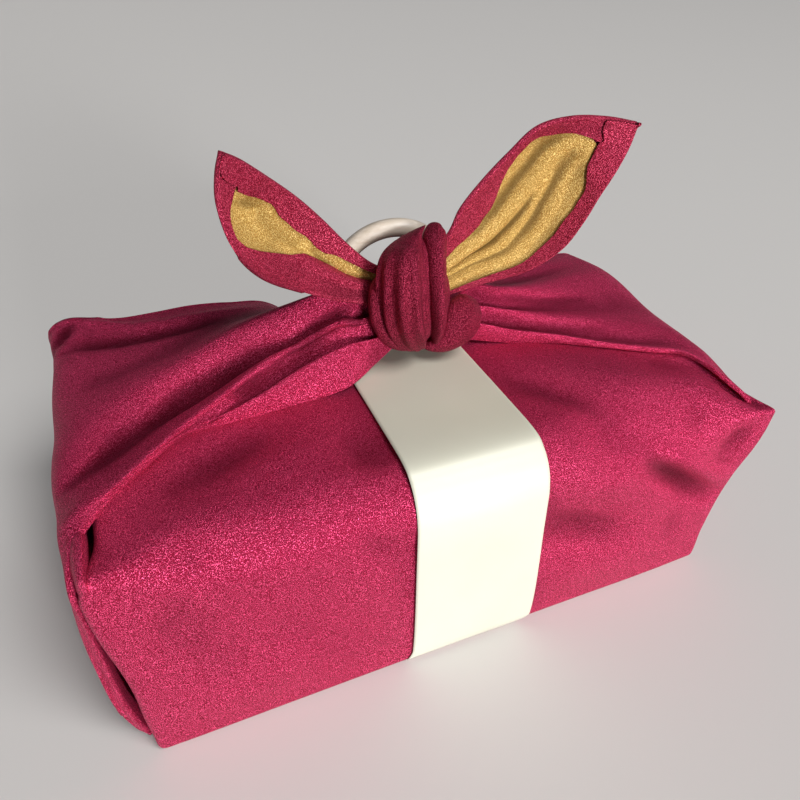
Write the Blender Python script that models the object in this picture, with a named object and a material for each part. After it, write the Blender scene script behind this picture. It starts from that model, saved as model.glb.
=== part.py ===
"""Gift box wrapped in one square of lined crepe cloth (furoshiki), knotted on top.

One unit in the tables is a millimetre; MM turns it into metres when the meshes are made.
X runs along the box, Y from its front to its back, Z up. The origin is under the middle
of the box, on the surface that it stands on.
"""
import math

import bmesh
import bpy
import numpy as np

MM = 0.001

# ---------------------------------------------------------------- driving dimensions
WRAP_LENGTH = 230.0          # over the cloth, along X
WRAP_DEPTH = 130.0           # over the cloth, along Y
WRAP_HEIGHT = 90.0           # over the cloth, under the folds
CLOTH = 2.0                  # two layers of crepe and lining
GAP = 0.3                    # between pieces that touch
BOX_PLAY = 0.5               # between the box and the cloth

BAND_WIDTH = 48.0
BAND_PAPER = 0.6
BAND_MIDDLE = -1.8           # where the middle of the band lies along X
BAND_STEP_MARGIN = 0.6       # the cloth's step under the band is this much wider each side
BAND_STEP_SLOPE = 0.5        # and comes down to the floor over this length

RING_OUTER = 25.0            # radius over the ring
RING_TUBE = 4.0              # radius of its round bar
RING_YAW = math.radians(-6.0)
RING_X = -1.5
RING_Y = 21.2

HEM = 9.0                    # turned-in border of the cloth's corners
HEM_RISE = 1.3               # how far the border stands above the cloth's inner face
EAR_CLOTH = 1.6
LINING = 0.9

TOP = WRAP_HEIGHT
TOP_ROUND = 11.0             # how far the soft top edges reach down
FOOT_ROUND = 3.5
CORNER_ROUND = 5.0           # the same at the ends, where the cloth is drawn tight
TIGHT_FROM, TIGHT_TO = 88.0, 113.0   # along X, where the one turns into the other
BAND_TOP = TOP + GAP + BAND_PAPER


# ---------------------------------------------------------------- small helpers
def material(name, colour, roughness):
    """A plain Principled BSDF."""
    made = bpy.data.materials.new(name)
    made.use_nodes = True
    shader = made.node_tree.nodes["Principled BSDF"]
    shader.inputs["Base Color"].default_value = (*colour, 1.0)
    shader.inputs["Roughness"].default_value = roughness
    return made


def add_object(name, bm, finish=None):
    """Turn a bmesh in millimetres into an object in metres, with its faces pointing out."""
    bmesh.ops.remove_doubles(bm, verts=bm.verts, dist=0.001)
    bmesh.ops.dissolve_degenerate(bm, edges=bm.edges, dist=0.0005)
    bmesh.ops.recalc_face_normals(bm, faces=bm.faces)
    bmesh.ops.scale(bm, vec=(MM, MM, MM), verts=bm.verts)
    mesh = bpy.data.meshes.new(name)
    bm.to_mesh(mesh)
    bm.free()
    made = bpy.data.objects.new(name, mesh)
    bpy.context.collection.objects.link(made)
    if finish is not None:
        mesh.materials.append(finish)
    mesh.shade_smooth()
    mesh.set_sharp_from_angle(angle=math.radians(50))
    return made


def boolean(target, tool, operation):
    """Join a tool to the target or cut it away; the tool itself is only a guide."""
    step = target.modifiers.new(tool.name, "BOOLEAN")
    step.operation = operation
    step.solver = "EXACT"
    step.object = tool
    tool.hide_render = True
    tool.display_type = "WIRE"


def smoothstep(value, low, high):
    t = np.clip((value - low) / (high - low), 0.0, 1.0)
    return t * t * (3.0 - 2.0 * t)


def through(rows, per_span):
    """Points of a smooth curve through the rows, with per_span steps between two rows."""
    rows = np.asarray(rows, float)
    before = np.vstack([2 * rows[0] - rows[1], rows, 2 * rows[-1] - rows[-2]])
    points = []
    for i in range(len(rows) - 1):
        p0, p1, p2, p3 = before[i:i + 4]
        for t in np.arange(per_span) / per_span:
            points.append(0.5 * (2 * p1 + (p2 - p0) * t
                                 + (2 * p0 - 5 * p1 + 4 * p2 - p3) * t ** 2
                                 + (3 * p1 - p0 - 3 * p2 + p3) * t ** 3))
    points.append(rows[-1])
    return np.array(points)


def at(rows, fraction):
    """The point of the same smooth curve at a fraction of the rows' own first column."""
    rows = np.asarray(rows, float)
    keys = rows[:, 0]
    i = int(np.clip(np.searchsorted(keys, fraction) - 1, 0, len(rows) - 2))
    t = (fraction - keys[i]) / (keys[i + 1] - keys[i])
    p1, p2 = rows[i, 1:], rows[i + 1, 1:]
    p0 = rows[i - 1, 1:] if i > 0 else 2 * p1 - p2
    p3 = rows[i + 2, 1:] if i + 2 < len(rows) else 2 * p2 - p1
    return 0.5 * (2 * p1 + (p2 - p0) * t + (2 * p0 - 5 * p1 + 4 * p2 - p3) * t ** 2
                  + (3 * p1 - p0 - 3 * p2 + p3) * t ** 3)


def loft(rings):
    """A closed solid through rings of points; each end is a strip between the ring's halves."""
    bm = bmesh.new()
    made = [[bm.verts.new(point) for point in ring] for ring in rings]
    count = len(made[0])
    for ring, following in zip(made, made[1:]):
        for i in range(count):
            k = (i + 1) % count
            bm.faces.new((ring[i], ring[k], following[k], following[i]))
    for ring in (made[0], made[-1]):
        for i in range(count // 2 - 1):
            bm.faces.new((ring[i], ring[i + 1], ring[count - 2 - i], ring[count - 1 - i]))
    return bm


def thick_sheet(front, back):
    """A closed sheet between two grids of points that match."""
    bm = bmesh.new()
    rows, columns = len(front), len(front[0])
    faces = [[[bm.verts.new(p) for p in row] for row in grid] for grid in (front, back)]
    for grid in faces:
        for i in range(rows - 1):
            for j in range(columns - 1):
                bm.faces.new((grid[i][j], grid[i][j + 1], grid[i + 1][j + 1], grid[i + 1][j]))
    rim = [(0, j) for j in range(columns)] + [(i, columns - 1) for i in range(1, rows)]
    rim += [(rows - 1, j) for j in range(columns - 2, -1, -1)]
    rim += [(i, 0) for i in range(rows - 2, 0, -1)]
    top, bottom = faces
    for (a, b), (c, d) in zip(rim, rim[1:] + rim[:1]):
        bm.faces.new((top[a][b], top[c][d], bottom[c][d], bottom[a][b]))
    return bm


# ---------------------------------------------------------------- body of the wrap
def grid_box(length, depth, height, cuts_x, cuts_y, cuts_z):
    """A box standing on z = 0 whose faces are cut along planes."""
    bm = bmesh.new()
    bmesh.ops.create_cube(bm, size=1.0)
    bmesh.ops.scale(bm, vec=(length, depth, height), verts=bm.verts)
    bmesh.ops.translate(bm, vec=(0, 0, height / 2), verts=bm.verts)
    for axis, cuts in enumerate((cuts_x, cuts_y, cuts_z)):
        normal = [0.0, 0.0, 0.0]
        normal[axis] = 1.0
        for value in cuts:
            place = [0.0, 0.0, 0.0]
            place[axis] = value
            everything = bm.verts[:] + bm.edges[:] + bm.faces[:]
            bmesh.ops.bisect_plane(bm, geom=everything, plane_co=place, plane_no=normal,
                                   dist=0.0001)
    return bm


def round_point(x, y, z, inset=0.0):
    """Move a point of a plain box onto the wrap's soft edges, or onto a shape inset from it."""
    up = smoothstep(z, 10.0, 70.0)
    along = 1.0 - smoothstep(abs(x), TIGHT_FROM, TIGHT_TO)
    reach_x = 3.0 + 1.0 * up - inset / 2
    reach_y = 3.2 + 6.8 * up * along - inset / 2
    reach_z = FOOT_ROUND - inset / 2
    if z > WRAP_HEIGHT / 2:
        reach_z = CORNER_ROUND + (TOP_ROUND - CORNER_ROUND) * along - inset / 2
    half = np.array([WRAP_LENGTH, WRAP_DEPTH, WRAP_HEIGHT]) / 2 - inset
    reach = np.array([reach_x, reach_y, reach_z])
    middle = np.array([0.0, 0.0, WRAP_HEIGHT / 2])
    point = np.clip(np.array([x, y, z]) - middle, -half, half)
    inner = np.clip(point, reach - half, half - reach)
    outward = (point - inner) / reach
    size = np.linalg.norm(outward)
    if size < 1e-9:
        return middle + point
    return middle + inner + reach * outward / size


def drape(point):
    """The soft forms of the cloth on the box: crowned panels, raised back, drawn-out tip."""
    x, y, z = point
    side = abs(x) / (WRAP_LENGTH / 2)
    front = smoothstep(-y, 50.0, 64.0)
    crown = 1.2 * (1 - side ** 2) * math.sin(math.pi * np.clip(z / WRAP_HEIGHT, 0, 1))
    away = smoothstep(abs(x - BAND_MIDDLE), BAND_WIDTH / 2 + 1.0, BAND_WIDTH / 2 + 22.0)
    y -= front * away * crown
    high = smoothstep(z, 30.0, 84.0)
    tip = high * smoothstep(x, 104.0, 113.5) * smoothstep(-y, 48.0, 63.0)
    x += 5.5 * tip
    y -= 1.5 * tip
    pinch = high * smoothstep(-x, 106.0, 113.5) * smoothstep(-y, 50.0, 63.0)
    x -= 2.0 * pinch
    y -= 1.5 * pinch
    z += 1.5 * pinch
    back = away * smoothstep(y, 20.0, 50.0) * smoothstep(z, 70.0, 88.0)
    z += 3.0 * back
    return x, y, z


def under_band(x):
    """True where the paper band lies on the cloth."""
    return abs(x - BAND_MIDDLE) < BAND_WIDTH / 2 + BAND_STEP_MARGIN + BAND_STEP_SLOPE / 2


def edge_cuts(half, insets):
    """Cutting places at the same distances from both ends of a side."""
    return [sign * (half - inset) for sign in (-1, 1) for inset in insets]


def body_cloth():
    """The cloth that lies against the box, still filled inside."""
    step = BAND_WIDTH / 2 + BAND_STEP_MARGIN
    cuts_x = edge_cuts(WRAP_LENGTH / 2, (1.5, 4.0, 9.0, 18.0, 37.0, 55.0, 70.0))
    cuts_x += [BAND_MIDDLE + sign * (step + more) for sign in (-1, 1)
               for more in (0.0, BAND_STEP_SLOPE)]
    cuts_y = edge_cuts(WRAP_DEPTH / 2, (3.0, 6.5, 10.0, 27.0, 45.0)) + [0.0]
    cuts_z = [1.7, 3.5, 14.0, 30.0, 47.0, 64.0, 79.0, 84.0, 87.5]
    bm = grid_box(WRAP_LENGTH, WRAP_DEPTH, WRAP_HEIGHT, cuts_x, cuts_y, cuts_z)
    for vert in bm.verts:
        x, y, z = drape(round_point(*vert.co))
        if under_band(vert.co.x) and vert.co.z < 1.0:
            z += GAP + BAND_PAPER
        vert.co = (x, y, z)
    return add_object("body_guide", bm)


def inside_form(inset):
    """A plain form inside the wrap: the room for the box, or the box itself."""
    cuts_x = edge_cuts(WRAP_LENGTH / 2, (1.5, 4.0, 18.0))
    cuts_y = edge_cuts(WRAP_DEPTH / 2, (3.0, 6.5, 10.0))
    bm = grid_box(WRAP_LENGTH, WRAP_DEPTH, WRAP_HEIGHT, cuts_x, cuts_y,
                  [2.0, 3.5, 40.0, 79.0, 84.0, 87.5])
    foot = inset + GAP + BAND_PAPER
    for vert in bm.verts:
        x, y, z = round_point(*vert.co, inset)
        vert.co = (x, y, max(z, foot))
    return bm


# ---------------------------------------------------------------- flaps and bundles
# The cloth's left and right corners come up over the ends of the box, turn over its top
# edge and are drawn together towards the knot. A row is one section. Its first columns
# place it: x and z of the reference line, how far the section leans outwards (degrees),
# the underside (fixed, measured from the line) and how much of it is solid gathers
# (1) or a free sheet (0). Its second line holds its folds, as y and height over the line.
FLAP_COLUMNS = ("x", "z", "lean", "under", "solid",
                "front_y", "front_h", "low_ridge_y", "low_ridge_h", "gap_y", "gap_h",
                "mid_ridge_y", "mid_ridge_h", "crease_y", "crease_h",
                "main_ridge_y", "main_ridge_h", "slope_y", "slope_h", "back_y", "back_h")
LEFT_FLAP = (
    (-2.0, 90, 0, 12.0, 1,
     -1.5, 15, -1.5, 18, 0, 20, 1, 22, 3, 23, 6, 26, 10, 22, 11, 16),
    (-15.0, 90, 0, 3.0, 1,
     -4, 6, -4, 12, 0, 14, 1, 18, 4, 19, 7, 28, 13, 20, 14, 7),
    (-28.0, 90, 0, 1.6, 1,
     -9, 3, -9, 12, -1, 13, 0, 17, 3, 18, 7, 26.5, 14, 16, 15, 4),
    (-42.0, 90, 0, -0.8, 1,
     -12, 1.5, -12, 9.5, -4, 10, -2, 13.5, 1, 13.5, 7, 21, 22, 12, 38, 5),
    (-58.0, 90, 0, -0.8, 1,
     -14, 1, -12.5, 7.5, -7, 7, -4, 10.5, 1, 10, 7, 16, 26, 10, 50, 5),
    (-72.0, 90, 0, -0.8, 1,
     -14, 1, -13, 5.5, -11, 5.2, -8, 8, -1, 7, 4, 11.8, 26, 8.5, 54, 4.8),
    (-86.0, 90, 0, -0.8, 1,
     -16, 1, -15.5, 3, -15, 3.6, -12.5, 5.3, -5, 3.6, 0, 8.3, 26, 7, 56, 4.8),
    (-98.0, 90, 0, -0.8, 1,
     -26, 0.6, -25.5, 2.2, -24.8, 2.9, -22, 4.4, -13, 2.6, -6, 6, 24, 6, 58, 4.8),
    (-108.0, 90, 0, -1.4, 1,
     -38, -0.2, -37, 1.4, -36, 2, -33, 3.2, -22, 2, -14, 4.2, 20, 5, 58, 5.6),
    (-117.0, 92.5, 22, -2.6, 0,
     -50, -1.4, -49, -0.4, -46, 0.4, -40, 0.8, -28, -0.4, -18, 0.6, 20, 1.2, 60, 3.2),
    (-122.6, 89.5, 52, -2.6, 0,
     -56, -1.6, -55, -0.8, -51, 0, -43, 0.4, -30, 0, -18, 0.3, 20, 0.8, 61, 2.8),
    (-124.8, 83.0, 80, -2.6, 0,
     -61.5, -5.0, -60.5, -2.2, -56, 0, -44, 0.4, -30, 0, -16, 0.2, 20, 0.3, 61, 0.4),
    (-124.4, 70.0, 92, -2.6, 0,
     -62.5, -6.4, -61.5, -2.8, -57, 0, -46, 0.4, -30, 0, -14, 0, 20, 0, 60, -2.2),
    (-122.8, 48.0, 95, -2.6, 0,
     -62.5, -6.4, -61.5, -2.6, -57, 0, -46, 0.4, -30, 0.2, -14, 0, 20, 0, 60, -2.4),
    (-120.0, 25.0, 98, -2.4, 0,
     -62.5, -4, -61.5, -1.6, -57, 0, -46, 0.3, -30, 0.2, -14, 0, 20, 0, 60, -2),
    (-117.0, 8.0, 100, -2.2, 0,
     -61, -1.4, -60, -0.5, -56, 0, -46, 0, -30, 0, -14, 0, 20, 0, 58, -1),
    (-114.4, 3.0, 100, -2.2, 0,
     -58, -1, -57, -0.3, -52, 0, -44, 0, -30, 0, -14, 0, 20, 0, 55, -1),
)
RIGHT_FLAP = (
    (6.0, 90, 0, 11.0, 1,
     -1.2, 13.5, -1.2, 16, 0, 17, 1, 18, 3, 20, 6, 24, 10, 20, 11, 14),
    (20.0, 90, 0, 3.0, 1,
     2, 6, 2, 11, 4, 12, 5, 14, 7, 14, 9, 22, 12, 18, 13, 8),
    (30.0, 90, 0, 1.6, 1,
     2, 3, 2, 10, 5, 10, 7, 15, 10, 15, 12, 22, 15, 16, 16, 5),
    (44.0, 90, 0, -0.8, 1,
     -3, 1.2, -2.5, 7, 2, 7, 5, 12, 9, 12, 14, 18.5, 26, 12, 40, 5),
    (60.0, 90, 0, -0.8, 1,
     -9, 1.6, -8, 5, -4, 5, 2, 8.5, 9, 9, 18, 14, 32, 10, 50, 5),
    (76.0, 90, 0, -0.8, 1,
     -18, 1.6, -16.5, 3.8, -12, 3.4, -2, 6.5, 8, 7, 23, 11, 38, 9, 54, 5),
    (92.0, 90, 0, -0.8, 1,
     -27, 1.5, -25.5, 3, -20, 2.4, -8, 4.8, 6, 5.4, 27, 9, 42, 8, 57, 5),
    (104.0, 90, 0, -0.8, 1,
     -34, 1.2, -32, 2.6, -26, 1.8, -12, 3.4, 6, 4.4, 30, 7.4, 44, 7, 58, 5),
    (111.0, 90.4, 12, -2.4, 1,
     -52, 0.2, -50, 1.6, -40, 1.2, -20, 1.6, 4, 2.6, 32, 5.4, 45, 5.4, 59, 3.4),
    (115.6, 88.8, 42, -2.6, 0,
     -58, -0.4, -56, 0.6, -48, 0.2, -24, 0.4, 2, 1.6, 32, 4.4, 46, 4, 60, 1.6),
    (118.0, 83.0, 78, -4.6, 0,
     -60, -1.6, -57.5, -0.2, -50, 0, -26, 0.2, 0, 0.8, 32, 2.6, 46, 2, 60, -0.4),
    (118.4, 70.0, 91, -5.2, 0,
     -61, -2, -58.5, -0.3, -50, 0, -26, 0, 0, 0.2, 32, 1, 46, 0.6, 60, -1.2),
    (117.9, 48.0, 93, -4.8, 0,
     -61, -1.6, -58.5, -0.2, -50, 0, -26, 0, 0, 0, 32, 0.4, 46, 0.2, 60, -1),
    (117.2, 25.0, 94, -4.2, 0,
     -61, -1, -58.5, 0, -50, 0, -26, 0, 0, 0, 32, 0, 46, 0, 60, -0.8),
    (116.4, 8.0, 98, -3.4, 0,
     -59, -0.6, -56.5, 0, -50, 0, -26, 0, 0, 0, 30, 0, 44, 0, 58, -0.6),
    (114.4, 3.0, 98, -2.6, 0,
     -56, -1, -54, 0, -48, 0, -26, 0, 0, 0, 30, 0, 44, 0, 55, -1),
)


def flap(name, rows, outwards):
    """One end flap and the bundle that it is drawn into, as one loft."""
    rings = []
    for row in through(rows, 1):
        x, z, lean, under, solid = row[:5]
        folds = through(row[5:].reshape(-1, 2), 2)
        lean = math.radians(lean)
        normal = np.array([outwards * math.sin(lean), 0.0, math.cos(lean)])
        line = np.array([x, 0.0, z])
        top = [line + (0, y, 0) + h * normal for y, h in folds]
        level = np.linspace(folds[:, 0].min(), folds[:, 0].max(), len(folds))
        bottom = []
        for (y, h), flat in zip(folds, level):
            y = solid * flat + (1 - solid) * y
            depth = under + (1 - solid) * h
            bottom.append(line + (0, y, 0) + depth * normal)
        rings.append(top + bottom[::-1])
    return add_object(name, loft(rings))


# ---------------------------------------------------------------- knot
# A row is a section of a gathered lobe: centre, half width across the lobe, half height.
KNOT_LOBES = {
    "front_lobe": ((7, 9, 127, 2.0, 2.0), (5.5, 8.5, 131.5, 4.5, 3.0), (2, 4.5, 134.5, 7.5, 4.2),
                   (-4, -1, 128, 10.0, 7.5),
                   (-8.5, -5, 116, 11.5, 9.0), (-7, -4, 105, 10.5, 7.5), (1, 1, 97.5, 6.0, 4.5)),
    "side_roll": ((12, 8.5, 127, 2.0, 2.0), (11.5, 7.5, 131.5, 3.5, 3.0), (10, 3, 134.5, 4.2, 4.2),
                  (7.5, -3.5, 128, 4.5, 6.5),
                  (5.5, -6, 116, 4.5, 8.5), (5, -5, 105, 4.5, 7.0), (6, 0, 97.5, 4.0, 4.5)),
    "under_loop": ((8, -3, 97, 4.0, 4.0), (13, -2, 101, 8.0, 6.5), (17, 1, 106, 10.5, 8.0),
                   (17, 5, 112, 9.0, 7.0), (14, 9, 117, 4.0, 4.0)),
}
KNOT_CORE = (2.0, 4.0, 113.0)
KNOT_CORE_RADII = (13.0, 10.5, 17.0)
# One more fold leaves the back of the knot, passes through the ring and hangs behind it.
KEEPER = ((0, 7, 106, 7.0, 4.0), (-1, 15, 104.5, 7.0, 3.6), (-1.5, 21, 104, 6.5, 3.3),
          (-2, 27.5, 102.5, 6.5, 3.0), (-2.2, 30.5, 98, 6.5, 2.8), (-2.2, 31, 94.6, 5.5, 2.2))


def lobe(name, rows, middle, grow=0.0):
    """A rounded lobe of cloth that bends round a middle point."""
    path = through(rows, 2)
    centres = path[:, :3]
    rings = []
    for i, row in enumerate(path):
        along = centres[min(i + 1, len(path) - 1)] - centres[max(i - 1, 0)]
        along /= np.linalg.norm(along)
        out = centres[i] - np.array(middle)
        out -= along * out.dot(along)
        out /= np.linalg.norm(out)
        across = np.cross(along, out)
        turn = np.linspace(0, 2 * math.pi, 14, endpoint=False)
        wide, high = row[3] + grow, row[4] + grow
        rings.append([row[:3] + across * wide * math.cos(a) + out * high * math.sin(a)
                      for a in turn])
    return add_object(name, loft(rings))


def knot_core(name, grow=0.0):
    """The packed middle of the knot."""
    bm = bmesh.new()
    bmesh.ops.create_icosphere(bm, subdivisions=3, radius=1.0)
    radii = [radius + grow for radius in KNOT_CORE_RADII]
    bmesh.ops.scale(bm, vec=radii, verts=bm.verts)
    bmesh.ops.translate(bm, vec=KNOT_CORE, verts=bm.verts)
    return add_object(name, bm)


def knot(label, grow=0.0):
    """The packed middle and the lobes that cross over it."""
    pieces = [knot_core(label + "core", grow)]
    pieces += [lobe(label + name, rows, KNOT_CORE, grow) for name, rows in KNOT_LOBES.items()]
    return pieces


# ---------------------------------------------------------------- ears
# A row is one line across the ear, from its tip (0) to its root (1): the upper hem's
# point, the lower hem's point, how deep the ear is scooped, and how deep it is pleated.
LEFT_EAR = (
    (0.00, -61, 4, 171, -61, 4, 171, 0, 0),
    (0.12, -55, 7, 167.5, -63.5, 3, 164.5, 0.8, 0),
    (0.30, -46, 11, 160.5, -64.5, 0, 157, 4, 0),
    (0.50, -37, 14, 152.5, -61.5, -3, 146, 8, 0.2),
    (0.68, -29, 15, 144, -53.5, -3, 136, 9, 0.4),
    (0.84, -21.5, 13, 136, -41, 0, 127.5, 7, 0.5),
    (0.94, -13, 11, 128, -27, 4, 119, 3.5, 0.3),
    (1.00, -3, 9, 123, -8, 5, 113, 1, 0),
)
RIGHT_EAR = (
    (0.00, 83, 2, 171, 83, 2, 171, 0, 0),
    (0.12, 71, 3.5, 173, 81.5, 1, 161.5, 1.5, 0),
    (0.28, 57, 5, 173.5, 77.5, -1, 152, 5, 0),
    (0.44, 45, 7, 170.5, 73, -2, 144.5, 9, 0.2),
    (0.60, 36, 8, 162.5, 67, -3, 136.5, 10, 0.4),
    (0.74, 27, 8, 154, 58.5, -2, 128, 9, 0.5),
    (0.86, 19, 7.5, 145, 46, 0, 120.5, 6.5, 0.5),
    (0.94, 15, 7, 137, 28, 4, 116, 3.5, 0.3),
    (1.00, 8, 8, 127, 12, 6, 112, 1, 0),
)
LEFT_AWAY = (-0.47, 0.79, -0.375)
RIGHT_AWAY = (0.20, 0.96, -0.17)
PLEATS = 2.5
EAR_STATIONS = [0.0] + [0.08 + 0.92 * i / 14 for i in range(15)]
ROOT_GATHER = 0.6            # the share of the border's width that is lost at the root
LINING_EDGE = 0.5            # between the border's edge and the lining
LINING_LIFT = 0.4            # between the ear's inner face and the lining
MITRE_STEP = 0.015           # the lining starts this share of the ear's length later


def ear_point(rows, away, along, across):
    """A point of the ear's inner face; across runs from the lower hem (0) to the upper (1)."""
    row = at(rows, along)
    upper, lower, scoop, pleat = row[:3], row[3:6], row[6], row[7]
    bow = 1.0 - (2.0 * across - 1.0) ** 2
    ripple = pleat * math.cos(2 * math.pi * PLEATS * across) * bow
    return lower + (upper - lower) * across + np.array(away) * (scoop * bow + ripple)


def ear_normal(rows, away, along, across):
    """The ear's unit normal, on its outer side; the tip takes the one a little below it."""
    if along < 0.05:
        along, across = 0.1, 0.5
    low, high = max(across - 0.02, 0.0), min(across + 0.02, 1.0)
    down = ear_point(rows, away, min(along + 0.02, 1.0), across)
    down = down - ear_point(rows, away, along - 0.02, across)
    side = ear_point(rows, away, along, high) - ear_point(rows, away, along, low)
    normal = np.cross(down, side)
    normal /= np.linalg.norm(normal)
    return normal if normal.dot(np.array(away)) > 0 else -normal


def ear_width(rows, away, along):
    """The length of a line across the ear."""
    line = [ear_point(rows, away, along, t) for t in np.linspace(0, 1, 13)]
    return sum(np.linalg.norm(b - a) for a, b in zip(line, line[1:]))


def hem_width(along):
    """The turned-in border's width, which the gathers near the knot draw together."""
    return HEM * (1.0 - ROOT_GATHER * smoothstep(along, 0.5, 1.0))


def open_at(rows, away, along):
    """True where the ear is wide enough for the lining to show between its two hems."""
    return ear_width(rows, away, along) > 2 * hem_width(along) + 2.5


def hem_share(rows, away, along, more=0.0):
    """The hem's share of a line across the ear; at the mitre the two hems nearly meet."""
    width = hem_width(along) + more
    return min(0.46, width / max(ear_width(rows, away, along), 0.001))


def sheet_between(rows, away, sections, back):
    """A closed sheet on the ear; a section is its place along and its (across, rise) points."""
    fronts, backs = [], []
    for along, crossings in sections:
        place = [(ear_point(rows, away, along, t), ear_normal(rows, away, along, t), rise)
                 for t, rise in crossings]
        fronts.append([p - n * rise for p, n, rise in place])
        backs.append([p + n * back for p, n, _ in place])
    return thick_sheet(fronts, backs)


def ear(name, rows, away):
    """The red cloth of one ear with its turned-in hems standing proud of the inner face."""
    sections = []
    for along in EAR_STATIONS:
        hem = hem_share(rows, away, along)
        edge = 0.96 * hem
        rise = 0.0 if open_at(rows, away, along) else HEM_RISE
        inside = hem + (1 - 2 * hem) * np.linspace(0, 1, 8)
        low = [(t * edge, HEM_RISE) for t in (0.0, 0.5, 1.0)]
        high = [(1 - t, r) for t, r in reversed(low)]
        sections.append((along, low + [(t, rise) for t in inside] + high))
    return add_object(name, sheet_between(rows, away, sections, EAR_CLOTH))


def ear_lining(name, rows, away, finish, guards):
    """The lining that shows inside one ear; the guards cut it off where the knot begins."""
    stations = [along for along in EAR_STATIONS if open_at(rows, away, along)]
    stations[0] += MITRE_STEP
    sections = []
    for along in stations[:-1]:
        hem = hem_share(rows, away, along, LINING_EDGE)
        inside = hem + (1 - 2 * hem) * np.linspace(0, 1, 8)
        sections.append((along, [(t, LINING_LIFT + LINING) for t in inside]))
    lining = add_object(name, sheet_between(rows, away, sections, -LINING_LIFT), finish)
    for guard in guards:
        boolean(lining, guard, "DIFFERENCE")
    return lining


# ---------------------------------------------------------------- paper band, box, ring
def band_line(outset):
    """The band's closed section in Y and Z, over the soft edges of the cloth."""
    points = []
    half_y = WRAP_DEPTH / 2
    for centre_y, centre_z, reach_y, reach_z, first in (
            (half_y - 3.5, 3.5, 3.5, 3.5, -90), (half_y - 10, TOP - 11, 10, 11, 0),
            (10 - half_y, TOP - 11, 10, 11, 90), (3.5 - half_y, 3.5, 3.5, 3.5, 180)):
        for angle in np.radians(np.linspace(first, first + 90, 7)):
            points.append((centre_y + (reach_y + outset) * math.cos(angle),
                           centre_z + (reach_z + outset) * math.sin(angle)))
    return points


def paper_band(finish):
    """A paper loop round the wrapped box; its underside is flush with the cloth's."""
    lift = GAP + BAND_PAPER
    left, right = BAND_MIDDLE - BAND_WIDTH / 2, BAND_MIDDLE + BAND_WIDTH / 2
    outer, inner = band_line(lift), band_line(GAP)
    outer = [(y, max(z, 0.0)) for y, z in outer]
    inner = [(y, max(z, BAND_PAPER)) for y, z in inner]
    bm = bmesh.new()
    loops = [[bm.verts.new((x, y, z)) for y, z in line]
             for line in (outer, inner) for x in (left, right)]
    outer_left, outer_right, inner_left, inner_right = loops
    for a, b in ((outer_left, outer_right), (outer_right, inner_right),
                 (inner_right, inner_left), (inner_left, outer_left)):
        for i in range(len(a)):
            k = (i + 1) % len(a)
            bm.faces.new((a[i], a[k], b[k], b[i]))
    return add_object("paper_band", bm, finish)


def ring_handle(finish):
    """A round wooden ring that stands on the band behind the knot."""
    bm = bmesh.new()
    middle = RING_OUTER - RING_TUBE
    bmesh.ops.create_circle(bm, segments=12, radius=RING_TUBE)
    bmesh.ops.translate(bm, vec=(middle, 0, 0), verts=bm.verts)
    profile = bm.verts[:] + bm.edges[:]
    for vert in bm.verts:
        vert.co = (vert.co.x, 0.0, vert.co.y)
    bmesh.ops.spin(bm, geom=profile, cent=(0, 0, 0), axis=(0, 0, 1), angle=2 * math.pi,
                   steps=40, use_merge=True)
    for vert in bm.verts:
        x, y, z = vert.co
        vert.co = (x * math.cos(RING_YAW) - z * math.sin(RING_YAW),
                   x * math.sin(RING_YAW) + z * math.cos(RING_YAW), y)
    place = (RING_X, RING_Y, BAND_TOP + GAP + RING_OUTER)
    bmesh.ops.translate(bm, vec=place, verts=bm.verts)
    return add_object("ring_handle", bm, finish)


# ---------------------------------------------------------------- assembly
END_WINDOW = ((-116.8, -112.2), (-45.0, 45.0), (32.0, 76.0))
POCKET_CORNERS = ((-122.0, 55.5), (-116.6, 58.6), (-118.2, 46.5))
POCKET_FLOOR = 84.0


def pocket():
    """The small open pocket at the back left corner, where the flap stands off the box."""
    bm = bmesh.new()
    outline = [bm.verts.new((x, y, POCKET_FLOOR)) for x, y in POCKET_CORNERS]
    face = bm.faces.new(outline)
    lifted = bmesh.ops.extrude_face_region(bm, geom=[face])
    verts = [item for item in lifted["geom"] if isinstance(item, bmesh.types.BMVert)]
    bmesh.ops.translate(bm, vec=(0, 0, 20.0), verts=verts)
    return add_object("pocket", bm)


def end_window():
    """Under the left flap the end of the box is not covered by a second layer."""
    bm = bmesh.new()
    bmesh.ops.create_cube(bm, size=1.0)
    bmesh.ops.scale(bm, vec=[high - low for low, high in END_WINDOW], verts=bm.verts)
    middle = [(low + high) / 2 for low, high in END_WINDOW]
    bmesh.ops.translate(bm, vec=middle, verts=bm.verts)
    return add_object("end_window", bm)


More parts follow.
